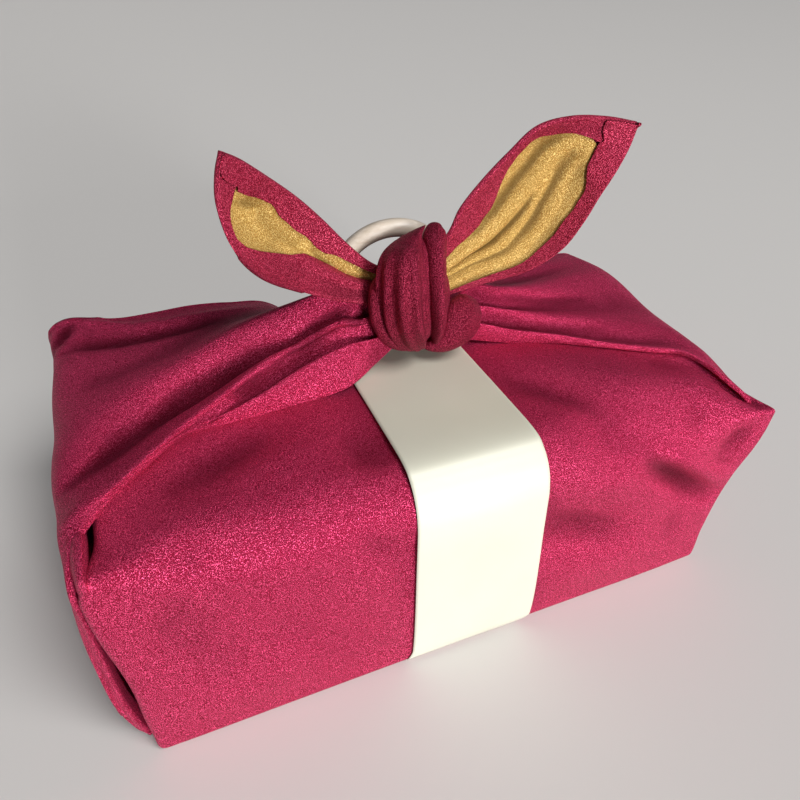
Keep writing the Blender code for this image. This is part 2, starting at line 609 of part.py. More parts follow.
def build():
    for old in list(bpy.data.objects):
        bpy.data.objects.remove(old, do_unlink=True)
    crimson = material("crimson_crepe", (0.36, 0.012, 0.055), 0.8)
    gold = material("gold_lining", (0.68, 0.42, 0.10), 0.7)
    cream = material("cream_paper", (0.78, 0.75, 0.60), 0.6)
    wood = material("pale_wood", (0.66, 0.58, 0.46), 0.5)
    card = material("plain_card", (0.55, 0.45, 0.33), 0.8)

    wrap = body_cloth()
    wrap.name = "wrap_cloth"
    wrap.data.materials.append(crimson)
    joined = [flap("left_flap", LEFT_FLAP, -1), flap("right_flap", RIGHT_FLAP, 1)]
    joined += knot("knot_")
    joined.append(lobe("keeper", KEEPER, (RING_X, RING_Y, BAND_TOP + RING_TUBE)))
    joined += [ear("left_ear", LEFT_EAR, LEFT_AWAY), ear("right_ear", RIGHT_EAR, RIGHT_AWAY)]
    for piece in joined:
        boolean(wrap, piece, "UNION")
    boolean(wrap, pocket(), "DIFFERENCE")
    boolean(wrap, add_object("hollow", inside_form(CLOTH)), "DIFFERENCE")
    boolean(wrap, end_window(), "DIFFERENCE")

    guards = knot("guard_", LINING_EDGE)
    ear_lining("left_lining", LEFT_EAR, LEFT_AWAY, gold, guards)
    ear_lining("right_lining", RIGHT_EAR, RIGHT_AWAY, gold, guards)
    paper_band(cream)
    add_object("gift_box", inside_form(CLOTH + BOX_PLAY), card)
    ring_handle(wood)


build()
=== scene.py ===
# %% [markdown]
# # A furoshiki wrap on a gift box
# This lesson dresses a finished CAD part: a box wrapped in one square of lined crepe cloth.
# The cloth is knotted on top, its two free corners stand up as ears, a paper band goes
# round the middle and a small wooden ring stands behind the knot.
# Every part of the cloth starts as a plain shape: a flat grid, a cube or a ball. Its points
# are moved onto the folds that short tables describe, and a sheet then gets its thickness.

# %% Load the CAD part as a fixed frame
import math

import bmesh
import bpy
import numpy as np
from mathutils import Matrix, Vector


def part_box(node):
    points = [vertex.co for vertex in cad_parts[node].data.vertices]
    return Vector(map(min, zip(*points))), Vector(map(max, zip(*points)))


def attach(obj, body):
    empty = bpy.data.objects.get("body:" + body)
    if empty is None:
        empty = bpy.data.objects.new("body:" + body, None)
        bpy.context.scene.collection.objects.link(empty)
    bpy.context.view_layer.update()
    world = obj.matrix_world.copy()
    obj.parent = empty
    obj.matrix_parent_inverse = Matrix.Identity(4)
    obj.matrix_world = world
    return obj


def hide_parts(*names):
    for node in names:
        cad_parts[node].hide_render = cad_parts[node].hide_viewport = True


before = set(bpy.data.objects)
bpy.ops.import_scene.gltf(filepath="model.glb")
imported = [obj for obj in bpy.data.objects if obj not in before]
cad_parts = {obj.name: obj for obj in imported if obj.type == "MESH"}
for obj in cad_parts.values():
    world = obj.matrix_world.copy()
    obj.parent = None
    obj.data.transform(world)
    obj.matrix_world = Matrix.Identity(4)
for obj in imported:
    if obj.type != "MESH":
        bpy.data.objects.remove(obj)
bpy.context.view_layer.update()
MM = 0.001  # the tables below are in millimetres
print("CAD nodes:", sorted(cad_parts))

# %% [markdown]
# ## The camera
# It stands to the front left of the box and looks down on it. Its three axes are worked out
# from the direction it looks in and a small roll, and put straight into its matrix.

# %% Place the camera
EYE = Vector((-0.0883, -0.1840, 0.22425))
AZIMUTH, ELEVATION, ROLL = (math.radians(angle) for angle in (-24.6, 36.8, 2.85))
ahead = Vector((-math.sin(AZIMUTH) * math.cos(ELEVATION),
                math.cos(AZIMUTH) * math.cos(ELEVATION), -math.sin(ELEVATION)))
level = Vector((math.cos(AZIMUTH), math.sin(AZIMUTH), 0.0))
above = level.cross(ahead)
right = math.cos(ROLL) * level + math.sin(ROLL) * above
upward = math.cos(ROLL) * above - math.sin(ROLL) * level

camera = bpy.data.objects.new("camera", bpy.data.cameras.new("camera"))
bpy.context.scene.collection.objects.link(camera)
turned = Matrix((right, upward, -ahead)).transposed().to_4x4()
camera.matrix_world = Matrix.Translation(EYE) @ turned
camera.data.lens, camera.data.sensor_width = 28.8, 36.0
camera.data.clip_start = 0.01
bpy.context.scene.camera = camera
print("camera looks along", [round(x, 3) for x in ahead])

# %% [markdown]
# ## Light and floor
# Crepe shows its grain best in soft light from low in front. One large lamp, far off in
# front and a little to the right, does that. A broad sun from above and in front lights the
# tops of the folds, and a weak sky keeps the shadows open. The floor is a plain pale sheet
# that is not part of the object.

# %% Make the lamps, the sky and the floor
LAMP_SPREAD = math.radians(100.0)
SKY_STRENGTH = 0.11
FLOOR_HALF = 6.0  # metres


def soft_lamp(name, place, target, size, watts):
    """A square lamp that points at a target and that the camera does not see."""
    lamp = bpy.data.objects.new(name, bpy.data.lights.new(name, "AREA"))
    bpy.context.scene.collection.objects.link(lamp)
    lamp.data.size, lamp.data.energy = size, watts
    lamp.location = place
    lamp.visible_camera = False
    lamp.data.spread = LAMP_SPREAD
    lamp.rotation_euler = (Vector(target) - Vector(place)).to_track_quat("-Z", "Y").to_euler()


soft_lamp("window", (0.80, -4.0, 0.50), (0.0, 0.0, 0.06), 1.1, 64.0)
daylight = bpy.data.objects.new("daylight", bpy.data.lights.new("daylight", "SUN"))
bpy.context.scene.collection.objects.link(daylight)
daylight.data.energy, daylight.data.angle = 2.5, math.radians(30.0)
daylight.rotation_euler = Vector((-0.35, 0.60, -0.9)).to_track_quat("-Z", "Y").to_euler()
bpy.context.scene.view_settings.view_transform = "Standard"
sky = bpy.data.worlds.new("pale_room")
sky.use_nodes = True
sky.node_tree.nodes["Background"].inputs["Color"].default_value = (0.80, 0.84, 0.90, 1.0)
sky.node_tree.nodes["Background"].inputs["Strength"].default_value = SKY_STRENGTH
bpy.context.scene.world = sky

floor_mesh = bmesh.new()
bmesh.ops.create_grid(floor_mesh, x_segments=4, y_segments=4, size=FLOOR_HALF)
floor = bpy.data.objects.new("floor", bpy.data.meshes.new("floor"))
floor_mesh.to_mesh(floor.data)
floor_mesh.free()
bpy.context.scene.collection.objects.link(floor)
pale = bpy.data.materials.new("pale_floor")
pale.use_nodes = True
floor_shader = pale.node_tree.nodes["Principled BSDF"]
floor_shader.inputs["Base Color"].default_value = (0.62, 0.60, 0.58, 1.0)
floor_shader.inputs["Roughness"].default_value = 0.9
floor_shader.inputs["Specular IOR Level"].default_value = 0.1
floor.data.materials.append(pale)

# %% [markdown]
# ## Finish: silk crepe
# Crepe is woven from hard twisted threads that shrink into a fine, uneven grain, here about
# a third of a millimetre long. Light catches the top of each grain, and that light is painted
# into the colour here. One node group makes the grain from two layers of noise and puts out a
# height for the bump, a mask for the painted glints on the grain tops and a slow change of
# shade at random. The grain's hollows are darker, partly as the crepe's own tone and partly as
# painted shade. The crimson face and the gold lining both use it.
# Little light reaches the bottom of a narrow fold. All cloth but the small curled corner
# carries a point attribute that says how far a point lies in a hollow, and the material turns
# darker there: this is painted shade.

# %% Build the grain group
GRAINS = 4300.0  # to the metre, before the pattern is stretched upwards
GRAIN_HEIGHT = 0.00022  # metres, for the bump
# Painted shade in the hollows of the folds: how strong it is and its darkest tone.
HOLLOW_SHARE, HOLLOW_SHADE = 0.92, 0.35  # how much a hollow turns, and to which share of its colour


def new_group(name, inputs, outputs):
    """An empty shader group with plain number sockets; inputs are (name, default) pairs."""
    group = bpy.data.node_groups.new(name, "ShaderNodeTree")
    for label, default in inputs:
        socket = group.interface.new_socket(name=label, in_out="INPUT",
                                            socket_type="NodeSocketFloat")
        socket.default_value = default
    for label in outputs:
        group.interface.new_socket(name=label, in_out="OUTPUT", socket_type="NodeSocketFloat")
    return group, group.nodes.new("NodeGroupInput"), group.nodes.new("NodeGroupOutput")


def add_node(tree, kind, **settings):
    """A new node with its own settings, such as operation="MULTIPLY"."""
    node = tree.nodes.new("ShaderNode" + kind)
    for key, value in settings.items():
        setattr(node, key, value)
    return node


def remap(tree, value, low, high, to_low=0.0, to_high=1.0):
    """A Map Range node that takes low..high to to_low..to_high."""
    node = add_node(tree, "MapRange")
    for socket, number in zip(node.inputs[1:5], (low, high, to_low, to_high)):
        socket.default_value = number
    tree.links.new(value, node.inputs["Value"])
    return node.outputs["Result"]


def noise(tree, vector, scale, detail, roughness=0.5):
    """A Noise Texture; scale may be a number or a socket."""
    node = add_node(tree, "TexNoise")
    node.inputs["Detail"].default_value = detail
    node.inputs["Roughness"].default_value = roughness
    if isinstance(scale, float):
        node.inputs["Scale"].default_value = scale
    else:
        tree.links.new(scale, node.inputs["Scale"])
    tree.links.new(vector, node.inputs["Vector"])
    return node.outputs["Fac"]


grain_group, given, taken = new_group("crepe_grain", [("Grains per metre", GRAINS)],
                                      ["Height", "Painted glint", "Shade"])
where = add_node(grain_group, "TexCoord").outputs["Object"]
stretch = add_node(grain_group, "Mapping")
stretch.inputs["Scale"].default_value = (1.0, 0.85, 0.62)
grain_group.links.new(where, stretch.inputs["Vector"])
coarse = noise(grain_group, stretch.outputs["Vector"], given.outputs[0], 0.0)
twice = add_node(grain_group, "Math", operation="MULTIPLY")
twice.inputs[1].default_value = 1.7
grain_group.links.new(given.outputs[0], twice.inputs[0])
fine = noise(grain_group, stretch.outputs["Vector"], twice.outputs[0], 1.0)
both = add_node(grain_group, "Mix", data_type="FLOAT")
both.inputs["Factor"].default_value = 0.35
grain_group.links.new(coarse, both.inputs["A"])
grain_group.links.new(fine, both.inputs["B"])
height = remap(grain_group, both.outputs["Result"], 0.34, 0.66)
grain_group.links.new(height, taken.inputs["Height"])
grain_group.links.new(remap(grain_group, both.outputs["Result"], 0.50, 0.62), taken.inputs["Painted glint"])
slow = noise(grain_group, where, 26.0, 3.0)
grain_group.links.new(remap(grain_group, slow, 0.3, 0.7), taken.inputs["Shade"])
print("group crepe_grain puts out", [s.name for s in grain_group.interface.items_tree
                                     if s.in_out == "OUTPUT"])


# %% Make a crepe material in any colour
def plain_material(name, colour, roughness):
    """A Principled material and its shader node."""
    made = bpy.data.materials.new(name)
    made.use_nodes = True
    shader = made.node_tree.nodes["Principled BSDF"]
    shader.inputs["Base Color"].default_value = (*colour, 1.0)
    shader.inputs["Roughness"].default_value = roughness
    return made, shader


def mix_colours(tree, factor, first, second):
    """Mix two colours; each is a socket or three numbers."""
    node = add_node(tree, "Mix", data_type="RGBA")
    tree.links.new(factor, node.inputs["Factor"])
    for socket, colour in ((node.inputs[6], first), (node.inputs[7], second)):
        if isinstance(colour, tuple):
            socket.default_value = (*colour, 1.0)
        else:
            tree.links.new(colour, socket)
    return node.outputs[2]


def bump(tree, shader, height, strength, depth):
    """Feed a height to the shader's normal; depth is in metres."""
    node = add_node(tree, "Bump")
    node.inputs["Strength"].default_value = strength
    node.inputs["Distance"].default_value = depth
    tree.links.new(height, node.inputs["Height"])
    tree.links.new(node.outputs["Normal"], shader.inputs["Normal"])


def crepe(name, hollow, middle, top, grains, roughness, gloss):
    """Crepe cloth from the colours of its grain hollows (partly painted shade), its body and its grain tops
    (painted glints).

    Silk colours its own highlights, which the share of gloss stands for."""
    made, shader = plain_material(name, middle, roughness)
    tree = made.node_tree
    grain = add_node(tree, "Group", node_tree=grain_group)
    grain.inputs[0].default_value = grains
    # Darker grain hollows: partly the crepe's own tone, partly painted shade.
    body = mix_colours(tree, grain.outputs["Height"], hollow, middle)
    # Painted glints: the grain tops turn to the bright colour, standing for the light they catch.
    with_painted_glints = mix_colours(tree, grain.outputs["Painted glint"], body, top)
    deeper = tuple(0.82 * value for value in middle)
    shaded = mix_colours(tree, remap(tree, grain.outputs["Shade"], 0.0, 1.0, 0.0, 0.25),
                         with_painted_glints, deeper)
    # Painted shade: the hollow attribute darkens the colour in the hollows of the folds.
    depth = add_node(tree, "Attribute", attribute_name="hollow").outputs["Fac"]
    tree.links.new(mix_colours(tree, remap(tree, depth, 0.0, 1.0, 0.0, HOLLOW_SHARE), shaded,
                               tuple(HOLLOW_SHADE * value for value in hollow)),
                   shader.inputs["Base Color"])
    bump(tree, shader, grain.outputs["Height"], 1.0, GRAIN_HEIGHT)
    shader.inputs["Metallic"].default_value = gloss
    shader.inputs["Specular IOR Level"].default_value = 0.25
    shader.inputs["Sheen Weight"].default_value = 0.06
    shader.inputs["Sheen Roughness"].default_value = 0.5
    shader.inputs["Sheen Tint"].default_value = (*top, 1.0)
    return made


CRIMSON = crepe("crimson_crepe", (0.200, 0.005, 0.020), (0.560, 0.022, 0.095),
                (0.950, 0.110, 0.270), GRAINS, 0.53, 0.92)
# The knot and the ears get darker copies of the crimson: painted shade for the less light that reaches
# them.
KNOT_SHADED_CRIMSON = crepe("crimson_crepe_knot_painted_shade", (0.090, 0.003, 0.010), (0.210, 0.007, 0.028),
              (0.560, 0.060, 0.130), GRAINS, 0.54, 0.88)
EAR_SHADED_CRIMSON = crepe("crimson_crepe_ear_painted_shade", (0.170, 0.006, 0.020), (0.340, 0.013, 0.048),
                (0.780, 0.100, 0.190), GRAINS, 0.56, 0.85)
GOLD = crepe("gold_crepe", (0.31, 0.155, 0.022), (0.53, 0.325, 0.080),
             (0.84, 0.59, 0.210), 3900.0, 0.55, 0.30)
print("crepe materials:", CRIMSON.name, GOLD.name)

# %% [markdown]
# ## Finishes: paper, wood and card
# The band is smooth cream paper with a trace of fibre. The ring is pale turned wood, whose
# grain runs across it as long soft streaks. The box inside is plain card and hardly shows.

# %% Make the paper, the wood and the card
PAPER, paper_shader = plain_material("cream_paper", (0.72, 0.70, 0.58), 0.42)
tree = PAPER.node_tree
where = add_node(tree, "TexCoord").outputs["Object"]
fibre = noise(tree, where, 1400.0, 4.0, 0.65)
cloud = noise(tree, where, 30.0, 3.0)
tree.links.new(mix_colours(tree, remap(tree, cloud, 0.3, 0.7), (0.570, 0.558, 0.460),
                           (0.545, 0.532, 0.430)), paper_shader.inputs["Base Color"])
tree.links.new(remap(tree, fibre, 0.2, 0.8, 0.36, 0.50), paper_shader.inputs["Roughness"])
bump(tree, paper_shader, fibre, 0.25, 0.00004)

WOOD, wood_shader = plain_material("pale_wood", (0.66, 0.57, 0.44), 0.45)
tree = WOOD.node_tree
along_grain = add_node(tree, "Mapping")
along_grain.inputs["Rotation"].default_value = (0.0, math.radians(12.0), math.radians(-6.0))
along_grain.inputs["Scale"].default_value = (0.09, 1.0, 1.0)
tree.links.new(add_node(tree, "TexCoord").outputs["Object"], along_grain.inputs["Vector"])
streak = noise(tree, along_grain.outputs["Vector"], 520.0, 5.0, 0.6)
tree.links.new(mix_colours(tree, remap(tree, streak, 0.36, 0.66), (0.620, 0.545, 0.460),
                           (0.490, 0.405, 0.315)), wood_shader.inputs["Base Color"])
tree.links.new(remap(tree, streak, 0.3, 0.7, 0.38, 0.52), wood_shader.inputs["Roughness"])
bump(tree, wood_shader, streak, 0.2, 0.00008)

CARD, card_shader = plain_material("plain_card", (0.46, 0.36, 0.25), 0.85)
tree = CARD.node_tree
pulp = noise(tree, add_node(tree, "TexCoord").outputs["Object"], 900.0, 4.0, 0.7)
tree.links.new(mix_colours(tree, pulp, (0.50, 0.40, 0.29), (0.40, 0.31, 0.21)),
               card_shader.inputs["Base Color"])
bump(tree, card_shader, pulp, 0.3, 0.0001)
print("other materials:", PAPER.name, WOOD.name, CARD.name)

# %% [markdown]
# ## How folds become a surface
# A table holds one section of the cloth per row and one fold per column. Between its points
# the cloth is a smooth curve both ways, which is what hanging cloth does between a ridge and
# the next crease. The curve through the points is a Catmull-Rom spline: each place on it
# depends on the four nearest points only, so one number in the table moves one fold.


# %% Smooth surfaces through tables
def spline_weights(place, count):
    """Which span of a row of points each place lies in, and its four neighbours' weights."""
    span = np.clip(np.floor(place).astype(int), 0, count - 2)
    t = (place - span)[:, None]
    weights = 0.5 * np.hstack([-t + 2 * t ** 2 - t ** 3, 2 - 5 * t ** 2 + 3 * t ** 3,
                               t + 4 * t ** 2 - 3 * t ** 3, -t ** 2 + t ** 3])
    return span, weights


def on_line(points, place):
    """Points of the smooth line through a row of points, at a place counted in rows."""
    points = np.asarray(points, float)
    longer = np.concatenate([2 * points[:1] - points[1:2], points,
                             2 * points[-1:] - points[-2:-1]])
    span, weights = spline_weights(place, len(points))
    return sum(weights[:, a, None] * longer[span + a] for a in range(4))


def on_folds(table, row, column):
    """Points of the smooth surface through a table of sections."""
    wide = np.concatenate([2 * table[:1] - table[1:2], table, 2 * table[-1:] - table[-2:-1]])
    wide = np.concatenate([2 * wide[:, :1] - wide[:, 1:2], wide,
                           2 * wide[:, -1:] - wide[:, -2:-1]], axis=1)
    i, down = spline_weights(row, table.shape[0])
    j, over = spline_weights(column, table.shape[1])
    return sum(down[:, a, None] * over[:, b, None] * wide[i + a, j + b]
               for a in range(4) for b in range(4))


def ease(value, low, high):
    """0 below low, 1 above high and a soft step between."""
    t = np.clip((value - low) / (high - low), 0.0, 1.0)
    return t * t * (3.0 - 2.0 * t)


def unit(vectors):
    """The same directions with length 1."""
    return vectors / np.maximum(np.linalg.norm(vectors, axis=1, keepdims=True), 1e-9)


def surface_normals(place, u, v, toward, step=0.004):
    """Unit normals of a surface, on the side that the toward direction is."""
    across = place(np.minimum(u + step, 1.0), v) - place(np.maximum(u - step, 0.0), v)
    along = place(u, np.minimum(v + step, 1.0)) - place(u, np.maximum(v - step, 0.0))
    normals = unit(np.cross(across, along))
    side = np.sign((normals * toward).sum(axis=1))
    return normals * np.where(side == 0, 1.0, side)[:, None]


print("a line through 0, 1, 0 at its first span's middle:",
      on_line([[0.0], [1.0], [0.0]], np.array([0.5]))[0])


# %% [markdown]
# ## Listed creases
# A soft crease or ridge is a line with a width and a depth: points near the line move along
# the surface's normal, most on the line and less away from it. The same short function
# serves the flat panels and the gathered bundles.


# %% Soft creases and fine waves
def press(points, normals, creases):
    """Push points in along soft lines; a row is start, end, half width and depth."""
    pushed = points.copy()
    for start, end, width, depth in creases:
        a, b = np.array(start, float), np.array(end, float)
        share = np.clip((points - a) @ (b - a) / max((b - a) @ (b - a), 1e-9), 0.0, 1.0)
        away = np.linalg.norm(points - a - share[:, None] * (b - a), axis=1)
        fade = np.sin(math.pi * (0.12 + 0.76 * share))
        pushed -= normals * (depth * fade * np.exp(-(away / width) ** 2))[:, None]
    return pushed


WAVES = np.random.default_rng(7).uniform(-1.0, 1.0, (9, 4))


def uneven(points, length, height):
    """A small unevenness that no cloth is without, as a sum of slow waves."""
    total = np.zeros(len(points))
    for x, y, z, start in WAVES:
        total += np.sin((points @ np.array([x, y, z])) * 2 * math.pi / length + 3 * start)
    return height * total / 3.0


# %% Turn a grid into a piece of cloth
def move_points(bm, points):
    """Put the vertices of a bmesh at points that are given in millimetres."""
    for vert, point in zip(bm.verts, points):
        vert.co = Vector(point) * MM


def shaped_grid(name, across, along, place, toward=None):
    """A bmesh grid moved to place(u, v), which gives millimetres; toward is its outer side."""
    bm = bmesh.new()
    bmesh.ops.create_grid(bm, x_segments=across, y_segments=along, size=0.5)
    spots = np.array([vert.co for vert in bm.verts]) + 0.5
    move_points(bm, place(spots[:, 0], spots[:, 1]))
    bmesh.ops.remove_doubles(bm, verts=bm.verts, dist=0.00001)
    bm.normal_update()
    if toward is not None:
        outer = sum((face.normal * face.calc_area()).dot(Vector(toward)) for face in bm.faces)
        if outer < 0:
            bmesh.ops.reverse_faces(bm, faces=bm.faces)
    return bm


# The hollow measured here is where the crepe materials paint shade.
def how_hollow(bm, rounds, full):
    """How far each point lies below the smoothed cloth around it; full (mm) counts as 1."""
    bm.normal_update()
    bm.verts.index_update()
    points = np.array([vert.co for vert in bm.verts]) / MM
    normals = np.array([vert.normal for vert in bm.verts])
    ends = np.array([[vert.index for vert in edge.verts] for edge in bm.edges])
    here, there = np.concatenate([ends, ends[:, ::-1]]).T
    count = np.maximum(np.bincount(here, minlength=len(points)), 1)
    smooth = points.copy()
    for _ in range(rounds):
        near = [np.bincount(here, smooth[there, axis], minlength=len(points)) / count
                for axis in range(3)]
        smooth = 0.5 * smooth + 0.5 * np.stack(near, axis=1)
    return 1.0 - np.exp(-np.maximum(((smooth - points) * normals).sum(axis=1), 0.0) / full)


def finish_piece(name, bm, finish, nodes, thickness=0.0, rounds=0, full=1.0):
    """Make the bmesh an object that rides on the part and stands for its CAD nodes.

    thickness and full are in millimetres; with rounds the piece gets its hollow attribute, the mask for
    painted shade."""
    mesh = bpy.data.meshes.new(name)
    depths = how_hollow(bm, rounds, full) if rounds else None
    bm.to_mesh(mesh)
    bm.free()
    if rounds:
        mesh.attributes.new("hollow", "FLOAT", "POINT").data.foreach_set("value", depths)
    piece = bpy.data.objects.new(name, mesh)
    bpy.context.scene.collection.objects.link(piece)
    mesh.materials.append(finish)
    mesh.shade_smooth()
    if thickness:
        wall = piece.modifiers.new("thickness", "SOLIDIFY")
        wall.thickness, wall.offset = thickness * MM, -1.0
        wall.use_even_offset = False
    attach(piece, "root")
    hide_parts(*nodes)
    print(name, len(mesh.polygons), "faces")
    return piece


# %% [markdown]
# ## The box inside
# The box is plain card. Its upper edges are crushed round, and its long sides and lid have
# sunk in a little, so that the dents of the cloth clear it. Its points are those of a cube cut
# into a grid, moved so that all of its edges are round.

# %% Round the box
bm = bmesh.new()
bmesh.ops.create_cube(bm, size=2.0)
bmesh.ops.subdivide_edges(bm, edges=bm.edges[:], cuts=25, use_grid_fill=True)
BOX_LOW, BOX_HIGH = (np.array(corner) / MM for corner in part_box("gift_box"))
BOX_ROUND, BOX_FOOT_ROUND = np.array([8.0, 18.0, 18.0]), np.array([3.0, 3.0, 3.0])
BOX_CROWD = 1.45  # radians; crowds the grid lines towards the edges
CAVED = 5.0  # how far the middle of each long side has sunk in; the lid sinks half as far
middle, half = (BOX_LOW + BOX_HIGH) / 2, (BOX_HIGH - BOX_LOW) / 2
for vert in bm.verts:
    point = np.sin(np.array(vert.co) * BOX_CROWD) / math.sin(BOX_CROWD) * half
    reach = BOX_ROUND if point[2] > 0 else BOX_FOOT_ROUND
    core = np.clip(point, reach - half, half - reach)
    outward = (point - core) / reach
    size = np.linalg.norm(outward)
    point = core + reach * outward / max(size, 1e-9)
    sunk = CAVED * np.clip(1.0 - (point / half) ** 4, 0.0, 1.0)
    point[1] -= np.sign(point[1]) * sunk[0] * sunk[2] / CAVED * abs(point[1] / half[1]) ** 6
    point[2] -= 0.5 * sunk[0] * sunk[1] / CAVED * max(point[2] / half[2], 0.0) ** 6
    vert.co = Vector(middle + point) * MM
finish_piece("card_box", bm, CARD, ["gift_box"])

# %% [markdown]
# ## The cloth round the box
# The cloth lies tight on the box, so its body is a box with soft edges. A cube is cut into a
# grid, its grid lines are crowded towards the corners, and every point is moved to the
# rounded form. The long top edges are softer than the ends, where the cloth is drawn tight.

# %% Shape the body of the wrap
LENGTH, DEPTH, HEIGHT = 230.0, 130.0, 90.0
TOP_ROUND, CORNER_ROUND, FOOT_ROUND = 17.0, 5.0, 3.5
BAND_MIDDLE, BAND_HALF = -1.8, 24.0
BAND_STEP = 0.9  # how far the cloth under the box clears the floor where the band passes
LOOSE_ROUND = 7.0  # how much softer the front edge is to the right of the band


def tip_drop(points):
    """How far the drawn-out corner at the front right hangs below the top."""
    x, y, z = points.T
    return 6.5 * ease(x, 92.0, 117.0) * ease(-y, 30.0, 64.0) * ease(z, 40.0, 84.0)


def rounded_box(points):
    """Move points of a plain box onto the wrap's soft edges."""
    x, y, z = points.T
    rise = ease(z, 10.0, 70.0)
    inner = 1.0 - ease(np.abs(x), 88.0, 113.0)
    over = z > HEIGHT / 2
    loose = ease(x, 26.0, 52.0) * inner * ease(-y, 0.0, 20.0)
    top_reach = CORNER_ROUND + (TOP_ROUND - CORNER_ROUND) * inner + LOOSE_ROUND * loose
    sharp = ease(x, 98.0, 112.0) * ease(-y, 30.0, 56.0) * ease(z, 50.0, 75.0)
    reach = np.stack([3.0 + rise - 2.6 * sharp,
                      3.2 + (13.8 * inner + LOOSE_ROUND * loose) * rise - 1.6 * sharp,
                      np.where(over, top_reach - 3.2 * sharp, FOOT_ROUND)], axis=1)
    half = np.array([LENGTH, DEPTH, HEIGHT]) / 2
    middle = np.array([0.0, 0.0, HEIGHT / 2])
    centred = points - middle
    core = np.clip(centred, reach - half, half - reach)
    outward = (centred - core) / reach
    size = np.linalg.norm(outward, axis=1, keepdims=True)
    return middle + core + reach * outward / np.maximum(size, 1e-9) * (size > 1e-9)


def draped(points):
    """The cloth's soft forms: crowned panels, raised back and the drawn-out corners."""
    x, y, z = points.T.copy()
    away = ease(np.abs(x - BAND_MIDDLE), BAND_HALF + 1.0, BAND_HALF + 22.0)
    crown = 1.2 * (1 - (2 * x / LENGTH) ** 2) * np.sin(math.pi * np.clip(z / HEIGHT, 0, 1))
    y = y - ease(-y, 50.0, 64.0) * away * crown
    high = ease(z, 30.0, 84.0)
    tip = high * ease(x, 98.0, 114.5) * ease(-y, 46.0, 63.5)
    x, y = x + 6.6 * tip, y - 1.7 * tip
    pinch = high * ease(-x, 104.0, 114.0) * ease(-y, 50.0, 63.0)
    x, y, z = x - 2.0 * pinch, y - 1.5 * pinch, z + 1.5 * pinch
    corner = ease(-x, 104.0, 114.0) * ease(-y, 46.0, 62.0)
    x = x - corner * (0.8 * ease(z, 4.0, 20.0)
                      + 2.2 * ease(z, 28.0, 72.0) * (1.0 - 0.7 * ease(z, 82.0, 90.0)))
    z = z + 3.0 * away * ease(y, 20.0, 50.0) * ease(z, 70.0, 88.0)
    ended = ease(-x, 84.0, 100.0)
    z = z + (1.6 * away * ease(z, 80.0, 89.5) * ease(-y, -10.0 + 28.0 * ended, 20.0 + 14.0 * ended)
             * (1 - ease(-y, 34.0, 58.0)))
    moved = np.stack([x, y, z], axis=1)
    moved[:, 2] -= tip_drop(moved)
    return moved


# A row is a soft crease: start, end, half width and depth (a ridge has a minus). On the
# upright panels a place is only its x and its z.
PANEL_Y = 66
FRONT_CREASES = (
    (73, 76, 108, 50, 3.4, -3), (68, 70, 104, 42, 5.4, 5.6), (112, 78, 105, 64, 6, 2.8),
    (24, 56, 62, 38, 10, 4.6), (30, 30, 92, 12, 12, -1.6), (36, 76, 60, 62, 8, -1.6),
    (86, 52, 94, 20, 8, 1.4), (48, 84, 76, 78, 7, 1.6), (-46, 80, -32, 66, 7, 1.4),
    (-104, 78, -84, 30, 12, 1.3), (-76, 60, -46, 20, 13, 1.3), (-100, 86, -112, 60, 5, -0.9),
    (-60, 30, -100, 12, 10, -1),
)
BACK_CREASES = (
    (30, 84, 84, 52, 7, 1.6), (40, 30, 100, 58, 9, -1.4), (-36, 80, -92, 44, 8, 1.7),
    (-44, 28, -104, 66, 9, -1.3), (98, 86, 112, 54, 5, 1.6), (-104, 88, -112, 50, 5, 1.6),
)
TOP_CREASES = (
    ((30, -24, 91), (52, -50, 91), 6, 2.6), ((56, -26, 91), (84, -52, 91), 8, -1.6),
    ((84, -30, 90), (112, -42, 89), 7, 2.4), ((60, -8, 92), (100, -24, 90), 8, 1),
    ((102, -36, 89), (117, -61, 84), 2.2, 2.8), ((-40, -30, 91), (-30, -52, 90), 9, 2.4),
    ((-62, -58, 90), (-100, -56, 90), 7, -1.2), ((-58, -22, 91), (-98, -40, 91), 8, 3),
)


def on_panel(y, rows):
    """Creases of an upright panel as lines in space."""
    return tuple(((x0, y, z0), (x1, y, z1), width, depth) for x0, z0, x1, z1, width, depth in rows)


bm = bmesh.new()
bmesh.ops.create_cube(bm, size=2.0)
bmesh.ops.subdivide_edges(bm, edges=bm.edges[:], cuts=71, use_grid_fill=True)
spots = np.array([vert.co for vert in bm.verts])
CROWD = np.array([0.80, 0.55, 0.45]) * math.pi / 2
spots = np.sin(spots * CROWD) / np.sin(CROWD)
spots = spots * np.array([LENGTH, DEPTH, HEIGHT]) / 2 + np.array([0.0, 0.0, HEIGHT / 2])
cloth = draped(rounded_box(spots))
move_points(bm, cloth)
bm.normal_update()
normals = np.array([vert.normal for vert in bm.verts])
cloth = press(cloth, normals, on_panel(-PANEL_Y, FRONT_CREASES) + on_panel(PANEL_Y, BACK_CREASES)
              + TOP_CREASES)
quiet = ease(cloth[:, 2], 4.0, 20.0) * ease(np.abs(cloth[:, 0] - BAND_MIDDLE), 25.0, 34.0)
cloth = cloth - normals * (quiet * uneven(cloth, 52.0, 0.35))[:, None]
cloth[:, 2] = np.maximum(cloth[:, 2], 0.0)
flat_foot = (np.abs(cloth[:, 0] - BAND_MIDDLE) < BAND_HALF + 1.0) & (cloth[:, 2] < BAND_STEP)
cloth[flat_foot, 2] = BAND_STEP
move_points(bm, cloth)
wrap_body = finish_piece("wrap_body", bm, CRIMSON, ["wrap_cloth"], thickness=1.0,
                         rounds=60, full=2.2)

# %% [markdown]
# ## The side bundles
# The left and right corners of the cloth come up over the ends of the box and are drawn
# together towards the knot, so their cloth gathers into long folds that run to it. Each row
# is a section across the folds. It starts with where the section stands and how far it
# leans, and then gives each fold as its y and its height.

